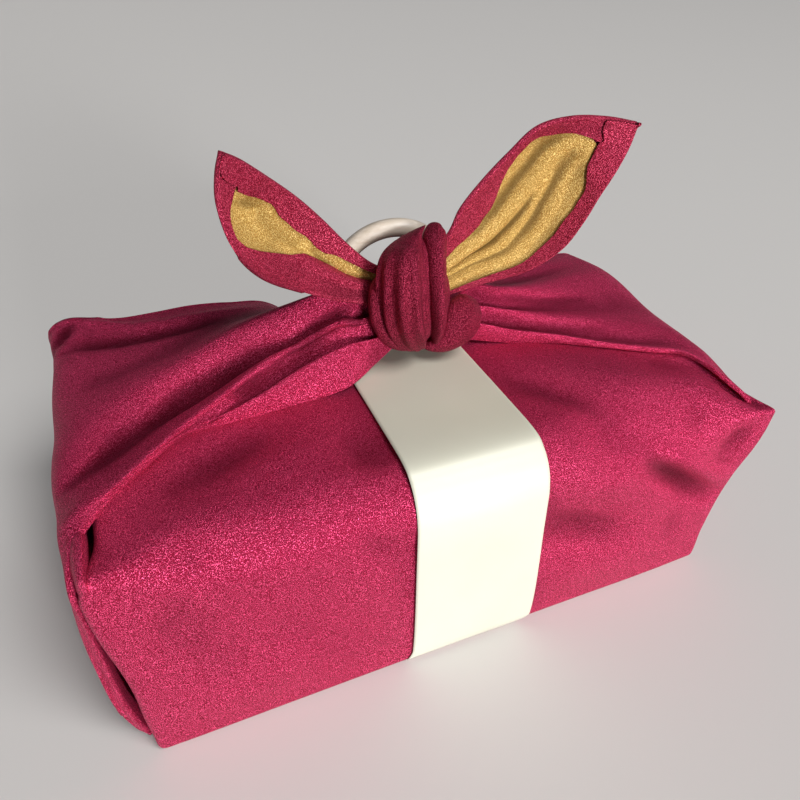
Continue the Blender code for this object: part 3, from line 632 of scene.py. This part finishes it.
# %% The bundle tables
LEFT_BUNDLE = (
    (-2, 90, 0, -1.5, 15, -1.5, 18, 0, 19, 1, 22, 3, 23, 6, 27, 10, 22, 11, 16),
    (-15, 90, 0, -2, 5, -1, 14, 1.5, 12, 3, 20, 5, 19.5, 7.5, 30, 13, 21, 14, 7),
    (-28, 90, 0, -9.5, 3, -4, 15, 0.5, 8.5, 4, 20, 7, 18.5, 9.5, 30, 14.5, 21, 15.5, 5),
    (-42, 90, 0, -12, 2, -6.5, 12, -1, 6.5, 3, 16, 6.5, 14.5, 13, 25, 25, 16.5, 43, 9.5),
    (-58, 90, 0, -14, 1.6, -12, 8.5, -7, 4.5, -2.5, 12.5, 5.5, 10.5, 15, 19.5, 29, 14, 50, 9.5),
    (-72, 90, 0, -15, 1.4, -14.4, 4.9, -12.6, 5.2, -9, 9, 2.5, 7, 13, 15, 31, 11.5, 54, 8.5),
    (-86, 90, 0, -17, 1.2, -17.6, 2.8, -17.4, 4, -16, 6, -2, 4.2, 8.5, 11, 29, 9, 56, 6.5),
    (-98, 90, 0, -27, 1, -27.8, 2.2, -27.6, 3.4, -26, 4.9, -11, 2.8, 4, 8.2, 24, 7.5, 58, 4.8),
    (-108, 90, 0, -37, 0.8, -37.6, 1.8, -37, 2.8, -34.5, 4, -18, 1.8, -3, 6.2, 20, 6, 58, 5.6),
    (-117, 92.5, 22, -49.5, -1, -49, 0.2, -46, 1.2, -41, 1.6, -27, -0.8, -12, 1.8, 20, 1.6, 60, 3.2),
    (-122.6, 89.5, 52, -56, -2.8, -55, -1.9, -51, -1, -44, 0.3, -30, -0.3, -15, 0.8, 20, 0.8, 61, 2.8),
    (-124.8, 83, 80, -61.5, -3.8, -60.5, -2.8, -56, -2.4, -46, -1.8, -30, -0.5, -16, 0.3, 20, 0.3, 61, 0.4),
    (-124.4, 70, 92, -61, -3.3, -60, -2.2, -57, -0.8, -46, 0.3, -30, 0, -14, 0, 20, 0, 60, -2.2),
    (-124.4, 48, 95, -59.5, -3.4, -58.5, -1.6, -57, 0, -46, 0.4, -30, 0.2, -14, 0, 20, 0, 60, -2.4),
    (-123.2, 25, 98, -59, -2.8, -58, -1.2, -57, 0, -46, 0.3, -30, 0.2, -14, 0, 20, 0, 60, -2),
    (-120.4, 8, 100, -58.5, -2.2, -57.5, -0.8, -56, 0, -46, 0, -30, 0, -14, 0, 20, 0, 58, -1),
    (-118.2, 1.2, 100, -58, -1.6, -57, -0.6, -55, 0, -46, 0, -30, 0, -14, 0, 20, 0, 57, -0.8),
)
RIGHT_BUNDLE = (
    (6, 90, 0, -1.2, 13.5, -1.2, 16, 0, 17, 1, 18, 3, 20, 6, 24, 10, 20, 11, 14),
    (20, 90, 0, 2, 6, 2, 11, 4, 11, 5, 14, 7, 13.5, 9, 19.5, 12, 16, 13, 8),
    (30, 90, 0, 2, 3, 1.5, 10, 5, 8.5, 7, 15, 10, 13.5, 12, 22, 15, 16, 16, 5),
    (44, 90, 0, -3, 1.6, -3, 7, 2, 6, 5, 12, 9, 10.8, 14, 18.5, 26, 12, 40, 5),
    (60, 90, 0, -9, 1.6, -8.5, 5, -4, 4, 2, 8.5, 9, 8.2, 18, 14, 32, 10, 50, 5),
    (76, 90, 0, -18, 1.6, -17, 3.8, -12, 3, -2, 6.5, 8, 6.4, 23, 11, 38, 9, 54, 5),
    (92, 90, 0, -27, 1.5, -26, 3.2, -20, 2.4, -8, 4.8, 6, 5, 27, 9, 42, 8, 57, 5),
    (104, 90, 0, -34, 1.2, -33, 2.8, -26, 1.9, -12, 3.4, 6, 4.2, 30, 7.4, 44, 7, 58, 5),
    (111, 90.4, 12, -52, 0.6, -51, 1.8, -40, 1.2, -20, 1.6, 4, 2.6, 32, 5.4, 45, 5.4, 59, 3.4),
    (115.6, 88.8, 42, -58.5, -0.2, -57, 0.8, -48, 0.2, -24, 0.4, 2, 1.6, 32, 4.4, 46, 4, 60, 1.6),
    (118, 83, 78, -60.5, -1.4, -59, -0.2, -50, 0, -26, 0.2, 0, 0.8, 32, 2.6, 46, 2, 60, -0.4),
    (118.4, 70, 91, -61.5, -1.8, -60, -0.3, -50, 0, -26, 0, 0, 0.2, 32, 1, 46, 0.6, 60, -1.2),
    (117.9, 48, 93, -61.5, -1.6, -60, -0.2, -50, 0, -26, 0, 0, 0, 32, 0.4, 46, 0.2, 60, -1),
    (117.2, 25, 94, -61.5, -1.2, -60, 0, -50, 0, -26, 0, 0, 0, 32, 0, 46, 0, 60, -0.8),
    (116.4, 8, 98, -60, -0.8, -58, 0, -50, 0, -26, 0, 0, 0, 30, 0, 44, 0, 58, -0.6),
    (115.2, 1.2, 98, -59, -1, -57, 0, -49, 0, -26, 0, 0, 0, 30, 0, 44, 0, 57, -0.6),
)


# %% Loft a bundle through its table
def fold_points(rows, outwards):
    """The table's folds as points in space, with the cloth tucked under at both edges."""
    made = []
    for row in rows:
        x, z, lean = row[0], row[1], math.radians(row[2])
        normal = np.array([outwards * math.sin(lean), 0.0, math.cos(lean)])
        folds = np.array(row[3:]).reshape(-1, 2)
        (front_y, front_h), (back_y, back_h) = folds[0], folds[-1]
        under = np.array([[front_y + 6.0, front_h - 1.0], [front_y + 1.2, front_h - 0.9]])
        behind = np.array([[back_y + 0.6, back_h - 1.4], [back_y - 3.0, back_h - 2.6]])
        folds = np.vstack([under, folds, behind])
        made.append([np.array([x, y, z]) + h * normal for y, h in folds])
    return np.array(made)


def bundle(name, rows, outwards, creases):
    """One side bundle with its flap over the end of the box."""
    table = fold_points(rows, outwards)
    last_row, last_fold = table.shape[0] - 1, table.shape[1] - 1

    def smooth(u, v):
        return on_folds(table, v * last_row, u * last_fold)

    def place(u, v):
        points = smooth(u, v)
        up = np.array([0.35 * outwards, -0.15, 1.0])
        normals = surface_normals(smooth, u, v, up)
        calm = np.minimum(ease(u, 0.1, 0.3), 1.0 - ease(u, 0.85, 0.97))
        points = press(points, normals, creases)
        points = points - normals * (calm * uneven(points, 34.0, 0.28))[:, None]
        points[:, 2] -= tip_drop(points)
        return points

    bm = shaped_grid(name, 150, 240, place, toward=(0.5 * outwards, 0.0, 1.0))
    piece = finish_piece(name, bm, CRIMSON, ["wrap_cloth"], thickness=1.1,
                         rounds=120, full=0.9)


LEFT_CREASES = (
    ((-22, 8, 113), (-46, 5, 105), 1.9, 2.2), ((-40, 4, 107), (-70, 3, 98), 1.9, 2.6),
    ((-64, 3, 99), (-95, -9, 93), 2, 2.4), ((-88, -5, 94), (-122, -29, 91), 2.6, 1.4),
    ((-15, 5, 112), (-41, 2, 103), 2, 2), ((-36, 3, 105), (-66, -9, 98), 2, 2.4),
    ((-58, -5, 100), (-82, -16, 96), 1.8, 1.8), ((-40, 4, 106), (-84, -17, 96), 2.2, -1),
    ((-60, 26, 106), (-112, 16, 96), 8, 1),
    ((-118, 62, 95), (-88, 46, 97), 3, -1.6), ((-92, 47, 97), (-52, 38, 100), 3, -2),
    ((-119, 43, 94), (-88, 38, 97), 3, 2.4), ((-92, 39, 97), (-66, 34, 101), 3, 1.8),
    ((-123, 50, 90), (-117, 57, 95), 3, 3.6), ((-124, 40, 84), (-124, -20, 30), 9, 1.4),
    ((-124, -10, 84), (-123, -44, 40), 8, -1.2),
)
RIGHT_CREASES = (
    ((28, 12, 108), (84, 12, 98), 3, 1.6), ((32, 5, 100), (80, -8, 94), 3, 1.3),
    ((40, 22, 104), (104, 40, 97), 6, 1.2), ((50, 30, 100), (100, 52, 96), 5, -0.8),
)
bundle("left_bundle", LEFT_BUNDLE, -1, LEFT_CREASES)
bundle("right_bundle", RIGHT_BUNDLE, 1, RIGHT_CREASES)

# %% [markdown]
# ## The curled corner
# At the front left the panel's own corner is not caught under the flap. It curls outwards and
# leaves a narrow dark slit beside the panel, which is filled by one small bent sheet.

# %% Bend the corner
# A row runs from inside the slit over the curl to the flap, as five points x, y, z. The rows
# go up from the curl's foot.
CURL = np.array((
    (-114.6, -64, 80, -115.6, -64.6, 80, -116.8, -64.4, 80, -117.6, -63, 80, -118, -61, 80),
    (-115, -65, 85, -116.2, -65.6, 86.5, -117.8, -65.2, 86, -118.9, -63.4, 84.5, -119.6, -61, 83),
    (-115.8, -64, 88.5, -116.6, -65, 91.2, -118.2, -64, 90.6, -119.2, -61.5, 88.4, -120, -59, 86),
    (-115.8, -61, 89, -116.7, -61.6, 92.4, -118.2, -60.6, 92, -119.3, -58.4, 90.4, -120.4, -55.5, 88),
    (-115.6, -56, 89, -116.3, -56, 93, -117.8, -55.6, 93, -119.1, -54, 91.9, -120.2, -51, 89),
    (-115.6, -50, 89, -116.2, -50, 92.6, -117.4, -49.6, 93, -118.5, -48.5, 92.3, -119.6, -46, 90),
    (-116, -45, 88, -116.6, -45.4, 91, -117.2, -45, 91.4, -117.8, -44.4, 91.2, -118.4, -43, 89),
), float).reshape(-1, 5, 3)
bm = shaped_grid("corner_curl", 24, 60, lambda u, v: on_folds(CURL, v * 6.0, u * 4.0),
                 toward=(-0.5, -1, 0.2))
curl = finish_piece("corner_curl", bm, CRIMSON, ["wrap_cloth"], thickness=0.8)

# %% [markdown]
# ## The knot
# A single knot in gathered cloth shows as a few fat folds that cross over each other. Each
# fold is a sphere whose points are moved onto a bent tube: the sphere closes its own ends,
# so there is no seam to hide. Long shallow waves round the tube are the gathers.

# %% Bend a sphere into each fold of the knot
KNOT_BEHIND = (80.0, 162.0, 19.0)  # well behind the knot; the folds face away from here
# A row is centre x, y, z, then half width and half height of the fold there.
FRONT_FOLD = ((6.5, 9, 139.9, 0.9, 2.5), (2.8, 7.5, 137.8, 2.5, 3.6), (-0.7, 5, 135.7, 4.6, 5),
              (-3.7, 2.5, 133.2, 6.8, 6.2), (-5.9, 0, 131, 8.1, 7.4), (-6.7, -1.6, 128.3, 8.7, 8.2),
              (-7.1, -3.2, 124.2, 9.1, 8.7), (-7, -4.4, 118.6, 9.4, 8.9),
              (-6.1, -4.8, 112.2, 9.4, 8.4), (-4.5, -4.4, 107.3, 8.7, 7.4),
              (-2.5, -3.6, 102.7, 7.1, 6), (-0.3, -2.6, 99.3, 4.4, 4.6), (1.9, -1.6, 97, 1.9, 3))
SIDE_FOLD = ((12.0, 10, 139.6, 3.4, 2.6), (10.3, 8.6, 137.9, 4.3, 3.6), (8.9, 6, 135.3, 4.5, 4.6),
             (8.1, 3, 132.2, 3.9, 5.4), (7.2, 0, 127.7, 3.8, 6.2), (6.8, -2.5, 122.8, 3.7, 6.9),
             (7, -4, 117.2, 3.7, 7.2), (7.3, -4.4, 110.9, 3.4, 6.9), (7.7, -4, 105.6, 2.9, 6),
             (7.8, -3.2, 101.3, 2.1, 4.6), (7.6, -2.4, 98.3, 1.3, 3))
UNDER_FOLD = ((3.1, -1.5, 97.8, 1.9, 3), (7.2, -2.6, 98, 3.2, 4), (12.1, -3.2, 100, 5.3, 6),
              (16.8, -2.2, 104.2, 7.7, 8.5), (19.7, 1, 107.9, 7.6, 8.8), (19.9, 6, 110, 5, 7))
LEFT_LAYER = ((-11.6, 5, 126.0, 1.6, 3), (-13.2, 3.5, 122.2, 2.8, 4), (-13.8, 2, 117.2, 3.2, 5),
              (-13.4, 1, 111.6, 3.4, 5), (-11.6, 0.2, 106.4, 3.3, 5), (-8.4, 0, 101.6, 2.9, 4.4),
              (-4.1, 0, 98.2, 2.2, 3.6), (0.4, 0, 96.2, 1.5, 3))
HEART = ((2, 4, 97, 8, 7), (2, 4, 105, 12, 10), (2, 4, 113, 13, 10.5), (2, 4, 121, 12, 9.5),
         (2, 5, 129, 8, 7), (4, 8, 136, 5, 4))
KEEPER = ((0, 7, 106, 7, 4), (-1, 15, 104.5, 7, 3.6), (-1.5, 21, 104, 6.5, 3.3),
          (-2, 27.5, 102.5, 6.5, 3), (-2.2, 30.5, 98, 6.5, 2.8), (-2.2, 31, 94.8, 5.5, 2.2))


def knot_fold(rows, behind, gathers, depth, skew):
    """A bmesh sphere moved onto a bent tube with long waves round it.

    The fold faces away from the place behind it, and skew leans its crest."""
    bm = bmesh.new()
    bmesh.ops.create_uvsphere(bm, u_segments=96, v_segments=72, radius=1.0)
    ball = np.array([vert.co for vert in bm.verts])
    latitude = np.arcsin(np.clip(ball[:, 2], -1.0, 1.0)) / math.pi + 0.5
    turn = np.arctan2(ball[:, 1], ball[:, 0])
    rows = np.array(rows, float)
    spot = latitude * (len(rows) - 1)
    path = on_line(rows, spot)
    ahead = unit(on_line(rows, spot + 0.02)[:, :3] - on_line(rows, spot - 0.02)[:, :3])
    out = path[:, :3] - np.array(behind)
    out = unit(out - ahead * (out * ahead).sum(axis=1, keepdims=True))
    side = np.cross(ahead, out)
    close = np.sqrt(np.clip(1.0 - np.abs(2 * latitude - 1.0) ** 5, 0.0, 1.0))
    low = ease(latitude, 0.15, 0.7)
    wave = 1.0 - depth * low * (0.5 + 0.5 * np.cos(gathers * turn + 2.5 * latitude)) * close
    moved = path[:, :3] + (side * (path[:, 3] * np.cos(turn) * wave * close)[:, None] + out * (
        path[:, 4] * np.sin(turn) * (1.0 + skew * np.cos(turn)) * wave * close)[:, None])
    move_points(bm, moved)
    bmesh.ops.recalc_face_normals(bm, faces=bm.faces)
    if bm.calc_volume(signed=True) < 0:
        bmesh.ops.reverse_faces(bm, faces=bm.faces)
    print("fold of", round(abs(bm.calc_volume(signed=True)) * 1e9), "cubic mm")
    return bm


knot = bmesh.new()
for rows, behind, gathers, depth, skew in ((FRONT_FOLD, KNOT_BEHIND, 9, 0.20, -0.55),
                                           (LEFT_LAYER, KNOT_BEHIND, 4, 0.05, 0.0),
                                           (SIDE_FOLD, KNOT_BEHIND, 4, 0.07, -0.2),
                                           (UNDER_FOLD, KNOT_BEHIND, 6, 0.06, 0.0),
                                           (HEART, (2.0, 30.0, 113.0), 5, 0.08, 0.0),
                                           (KEEPER, (-1.5, 21.2, 95.0), 5, 0.12, 0.0)):
    fold = knot_fold(rows, behind, gathers, depth, skew)
    part_mesh = bpy.data.meshes.new("fold")
    fold.to_mesh(part_mesh)
    fold.free()
    knot.from_mesh(part_mesh)
    bpy.data.meshes.remove(part_mesh)
# The knot wears the darker copy of the crimson: painted shade.
knot_piece = finish_piece("knot", knot, KNOT_SHADED_CRIMSON, ["wrap_cloth"],
                          rounds=60, full=0.6)

# %% [markdown]
# ## The ears
# The cloth's last two corners stand up from the knot and show the gold lining, framed by the
# turned-in hem. One row of the table is a line across the ear, from its tip to its root. The
# red cloth goes round in one strip: up the inner face of one hem, round the edge, across the
# back, round the other edge and in again. At the tip one hem passes over the other, and its
# end is the mitre seam.

# %% The ear tables
# Columns: share of the length, upper edge x y z, lower edge x y z, depth of the scoop.
LEFT_EAR = (
    (0.00, -61, 4, 171, -61, 4, 171, 0), (0.12, -55, 7, 167.2, -63.2, 3, 164.5, 0.6),
    (0.30, -46, 11, 159.8, -64.0, 0, 157, 2.6), (0.50, -37, 14, 151.8, -61.2, -3, 146, 4.5),
    (0.68, -29, 15, 143.5, -53.5, -3, 136, 5), (0.84, -21.5, 13, 135.2, -41, 0, 127.5, 4),
    (0.94, -13, 11, 127.5, -27, 4, 119, 2.4), (1.00, -3, 9, 123, -8, 5, 113, 1),
)
RIGHT_EAR = (
    (0.00, 83, 2, 171, 83, 2, 171, 0), (0.12, 71, 3.5, 173, 80, 1, 162.3, 1.2),
    (0.28, 57, 5, 173.5, 75, -1, 153.4, 4), (0.44, 45, 7, 170.5, 70.5, -2, 146, 7),
    (0.60, 36, 8, 162.5, 65.3, -3, 137.6, 8), (0.74, 27, 8, 154, 58.5, -2, 128, 7.5),
    (0.86, 19, 7.5, 145, 46, 0, 120.5, 5.5), (0.94, 15, 7, 137, 28, 4, 116, 3),
    (1.00, 8, 8, 127, 12, 6, 112, 1),
)
# Columns: share of the length, lower hem, upper hem and how far the lower edge rolls forward.
LEFT_HEMS = (
    (0.0, 8, 14, 0.4), (0.24, 8.4, 9.3, 0.2), (0.27, 7.2, 11.4, 0), (0.31, 5.8, 9.9, -0.2),
    (0.35, 3.8, 8.3, -0.4), (0.39, 2.4, 7.2, -0.6), (0.43, 1.7, 6.8, -0.8), (0.48, 1.4, 7.6, -1),
    (0.54, 3.1, 8.5, -1.4), (0.60, 7.2, 8.7, -1.8), (0.65, 10.2, 8.3, -2.0), (0.70, 13.6, 7.9, -2.0),
    (0.76, 16.2, 7.5, -2.0), (0.82, 16.6, 7.0, -1.8), (0.86, 15.6, 5.0, -1.4), (0.91, 15, 3.6, -1),
    (1.0, 10, 2.6, -0.4))
RIGHT_HEMS = (
    (0.0, 13, 12, 0.6), (0.23, 13.6, 12.3, 1.4), (0.27, 12.9, 9, 1.8), (0.30, 11.8, 6.7, 2.0),
    (0.34, 11, 5.9, 2.2), (0.41, 7.2, 4.9, 2.2), (0.45, 6.2, 3.7, 2.2), (0.50, 6.0, 2.8, 2.2),
    (0.58, 6.2, 2.9, 2.2), (0.65, 6.6, 4.4, 2.1), (0.72, 6.4, 8, 2.0), (0.79, 5.6, 11.2, 1.6),
    (0.86, 4.0, 11.4, 1.0), (0.94, 2.4, 6.6, 0.5), (1.0, 1.5, 5, 0.2))
# Creases of the lining: from along, across to along, across, half width and depth.
LEFT_PLEATS = ((1.0, 0.62, 0.74, 0.70, 0.06, 2.2), (0.42, 0.62, 0.30, 0.45, 0.14, 1.6),
               (1.0, 0.48, 0.62, 0.50, 0.10, -1.4))
RIGHT_PLEATS = ((1.0, 0.42, 0.62, 0.50, 0.05, 4.2), (1.0, 0.22, 0.50, 0.38, 0.09, -2.4),
                (0.85, 0.30, 0.32, 0.50, 0.07, 3.2), (0.90, 0.66, 0.28, 0.80, 0.08, 2.6),
                (0.80, 0.62, 0.22, 0.64, 0.09, -2.6), (0.36, 0.45, 0.14, 0.60, 0.10, -1.8))
# The way each ear's back faces, how far a hem stands over the inner face, and where the back
# of the cloth lies under it.
LEFT_AWAY = (-0.47, 0.79, -0.375)
RIGHT_AWAY = (0.20, 0.96, -0.17)
HEM_RISE = 1.3
CLOTH_BACK = 0.7


class Ear:
    """Where any place on an ear is, from its table."""

    def __init__(self, rows, away, hems, pleats, mitre_side, seam):
        self.rows, self.away, self.hem_rows = np.array(rows), np.array(away), np.array(hems)
        self.pleats, self.mitre_side, self.seam = pleats, mitre_side, seam

    def flat_point(self, along, across):
        """A point of the inner face; across runs from the lower edge (0) to the upper (1)."""
        spot = np.interp(along, self.rows[:, 0], np.arange(len(self.rows)))
        row = on_line(self.rows[:, 1:], spot)
        bow = 1.0 - (2.0 * across - 1.0) ** 2
        lift = row[:, 6] * bow
        for a0, c0, a1, c1, width, depth in self.pleats:
            share = np.clip((along - a0) / (a1 - a0), 0.0, 1.0)
            fade = np.sin(math.pi * (0.30 + 0.70 * share)) * (along > min(a0, a1) - 0.15)
            away = (across - c0 - (c1 - c0) * share) / width
            lift = lift + depth * fade * bow * np.exp(-away ** 2)
        return row[:, 3:6] + (row[:, 0:3] - row[:, 3:6]) * across[:, None] + (
            lift[:, None] * self.away)

    def normal(self, along, across):
        """Unit normals that point away from the lining."""
        along = np.maximum(along, 0.03)
        down = self.flat_point(np.minimum(along + 0.02, 1.0), across) - self.flat_point(
            along - 0.02, across)
        side = self.flat_point(along, np.minimum(across + 0.03, 1.0)) - self.flat_point(
            along, np.maximum(across - 0.03, 0.0))
        normals = unit(np.cross(down, side))
        facing = np.sign((normals * self.away).sum(axis=1))
        return normals * np.where(facing == 0, 1.0, facing)[:, None]

    def width(self, along):
        """The length of the line across the ear."""
        line = [self.flat_point(along, np.full(len(along), t)) for t in np.linspace(0, 1, 9)]
        return sum(np.linalg.norm(b - a, axis=1) for a, b in zip(line, line[1:]))

    def hems(self, along):
        """The lower and the upper hem's share of the line across the ear, and the roll."""
        low, high, roll = (np.interp(along, self.hem_rows[:, 0], self.hem_rows[:, k])
                           for k in (1, 2, 3))
        wave = 1.0 + 0.02 * np.sin(51.0 * along)
        width = np.maximum(self.width(along), 0.01)
        low, high = low * wave / width, high * wave / width
        whole = low + high
        meet = low / whole
        reached = np.clip((along - self.seam[0]) / (self.seam[1] - self.seam[0]), 0.0, 1.0)
        meet = self.mitre_side + (meet - self.mitre_side) * reached
        shut = whole > 1.0
        return np.where(shut, meet, low), np.where(shut, 1.0 - meet, high), roll


# %% Fold the red cloth of an ear and lay its lining
# How the strip is shared out: lower hem, lower edge, back, upper edge and upper hem.
SECTION = np.array([0.0, 0.22, 0.27, 0.73, 0.78, 1.0])
MITRE_STEP = 0.7  # how far one hem lies over the other at the tip


def ear_pieces(side, ear, lining_node):
    """The red cloth of one ear with its hems, and the lining between them."""

    def red(u, v):
        low, high, roll = ear.hems(v)
        tip = 1.0 - ease(v, ear.seam[1], ear.seam[1] + 0.1)
        upper_over = MITRE_STEP * (ear.mitre_side < 0.5) * tip
        lower_over = MITRE_STEP * (ear.mitre_side > 0.5) * tip
        zero, one = np.zeros(len(u)), np.ones(len(u))
        across = np.stack([low, zero, 0.016 * roll, one, one, 1.0 - high], axis=1)
        rise = np.stack([HEM_RISE + lower_over, HEM_RISE + lower_over + roll, -CLOTH_BACK * one,
                         -CLOTH_BACK * one, HEM_RISE + upper_over, HEM_RISE + upper_over],
                        axis=1)
        spot = np.interp(u, SECTION, np.arange(6))
        first = np.clip(np.floor(spot).astype(int), 0, 4)
        part = spot - first
        pick = np.arange(len(u))
        place = across[pick, first] * (1 - part) + across[pick, first + 1] * part
        lift = rise[pick, first] * (1 - part) + rise[pick, first + 1] * part
        round_edge = np.sin(math.pi * part) * np.isin(first, (1, 3)) * 0.5
        normals = ear.normal(v, place)
        outer = ear.flat_point(v, one) - ear.flat_point(v, zero)
        outer = unit(outer) * np.where(first == 1, -1.0, 1.0)[:, None]
        return ear.flat_point(v, place) - normals * lift[:, None] + outer * round_edge[:, None]

    bm = shaped_grid(side + "_ear", 110, 110, red)
    inward = Vector(ear.away) * -1.0
    bm.normal_update()
    front = [face for face in bm.faces if abs(face.normal.dot(inward)) > 0.5]
    centre = sum((face.calc_center_median() for face in bm.faces), Vector()) / len(bm.faces)
    score = sum(face.normal.dot(inward) * (face.calc_center_median() - centre).dot(inward)
                for face in front)
    if score < 0:
        bmesh.ops.reverse_faces(bm, faces=bm.faces)
    # The ear's red is a darker copy of the crimson: painted shade.
    piece = finish_piece(side + "_ear", bm, EAR_SHADED_CRIMSON, ["wrap_cloth"],
                         thickness=0.5, rounds=40, full=0.8)

    shares = np.linspace(0.05, 0.6, 300)
    low, high, _ = ear.hems(shares)
    mitre = shares[np.argmax(low + high < 0.99)]

    def gold(u, v):
        along = mitre + 0.01 + (0.99 - mitre) * v
        low, high, _ = ear.hems(along)
        low, high = low * 0.93 - 0.01, high * 0.93 - 0.01
        across = np.clip(low + (1.0 - low - high) * u, 0.0, 1.0)
        return ear.flat_point(along, across) - ear.normal(along, across) * 0.45

    bm = shaped_grid(side + "_ear_lining", 70, 90, gold, toward=inward)
    lining = finish_piece(side + "_ear_lining", bm, GOLD, [lining_node],
                          thickness=0.4, rounds=70, full=0.3)


ear_pieces("left", Ear(LEFT_EAR, LEFT_AWAY, LEFT_HEMS, LEFT_PLEATS, 0.02, (0.10, 0.24)),
           "left_lining")
ear_pieces("right", Ear(RIGHT_EAR, RIGHT_AWAY, RIGHT_HEMS, RIGHT_PLEATS, 0.98, (0.14, 0.21)),
           "right_lining")

# %% [markdown]
# ## The paper band
# A strip of paper goes once round the wrapped box and over its soft edges. Its path is drawn
# as a line of points in the Y-Z plane. At the front the paper stands a little off the cloth
# and its free lower corner swings out to the right.

# %% Bend the band round the box
BAND_PATH = ((20, 0.3), (-40, 0.3), (-61.0, 0.3), (-64.2, 1.6), (-65.8, 6), (-66.0, 30), (-66.2, 55),
             (-66.1, 69), (-65.3, 76), (-62.8, 82.6), (-58.0, 87.9), (-51.0, 90.5), (-30, 90.9),
             (0, 90.9), (30, 90.9), (51.0, 90.5), (58.0, 87.9), (62.8, 82.6), (65.3, 76), (65.8, 40),
             (65.9, 6), (64.2, 1.6), (61, 0.3), (40, 0.3), (20, 0.3))
BAND_LAST = len(BAND_PATH) - 1


def band_point(u, v):
    """A point of the paper; v goes round the box from under it, u from left to right."""
    y, z = on_line(np.array(BAND_PATH, float), v * BAND_LAST).T
    x = BAND_MIDDLE + (u - 0.5) * 2 * BAND_HALF
    front = ease(-y, 60.0, 65.5) * ease(z, 0.0, 8.0) * (1.0 - ease(z, 60.0, 84.0))
    low = 1.0 - ease(z, 10.0, 78.0)
    swing = front * low * ease(u, 0.45, 1.0)
    x = x + front * 2.0 * low + 1.6 * swing
    y = y - 1.6 * swing - 0.5 * front * np.sin(math.pi * u)
    return np.stack([x, y, z], axis=1)


bm = shaped_grid("band_sheet", 40, 420, band_point)
bm.normal_update()
outer = sum(face.normal.dot(face.calc_center_median() - Vector((0, 0, 0.045)))
            for face in bm.faces)
if outer < 0:
    bmesh.ops.reverse_faces(bm, faces=bm.faces)
finish_piece("band_sheet", bm, PAPER, ["paper_band"], thickness=0.25)

# %% [markdown]
# ## The ring
# A turned ring is a circle spun round an axis. It stands upright on the band behind the knot,
# a few degrees out of line with the box.

# %% Spin the ring
RING_OUTER, RING_TUBE = 24.4, 3.3
RING_YAW, RING_LEAN = math.radians(-6.0), math.radians(4.5)
RING_PLACE = (-1.5, 19.4, 115.6)
bm = bmesh.new()
bmesh.ops.create_circle(bm, segments=40, radius=RING_TUBE)
bmesh.ops.rotate(bm, verts=bm.verts, cent=(0, 0, 0), matrix=Matrix.Rotation(math.pi / 2, 3, "X"))
bmesh.ops.translate(bm, vec=(RING_OUTER - RING_TUBE, 0, 0), verts=bm.verts)
bmesh.ops.spin(bm, geom=bm.verts[:] + bm.edges[:], cent=(0, 0, 0), axis=(0, 0, 1),
               angle=2 * math.pi, steps=128, use_merge=True)
stand = Matrix.Rotation(RING_YAW, 4, "Z") @ Matrix.Rotation(math.pi / 2 + RING_LEAN, 4, "X")
bmesh.ops.transform(bm, matrix=Matrix.Scale(MM, 4) @ Matrix.Translation(RING_PLACE) @ stand,
                    verts=bm.verts)
bmesh.ops.recalc_face_normals(bm, faces=bm.faces)
finish_piece("wood_ring", bm, WOOD, ["ring_handle"])
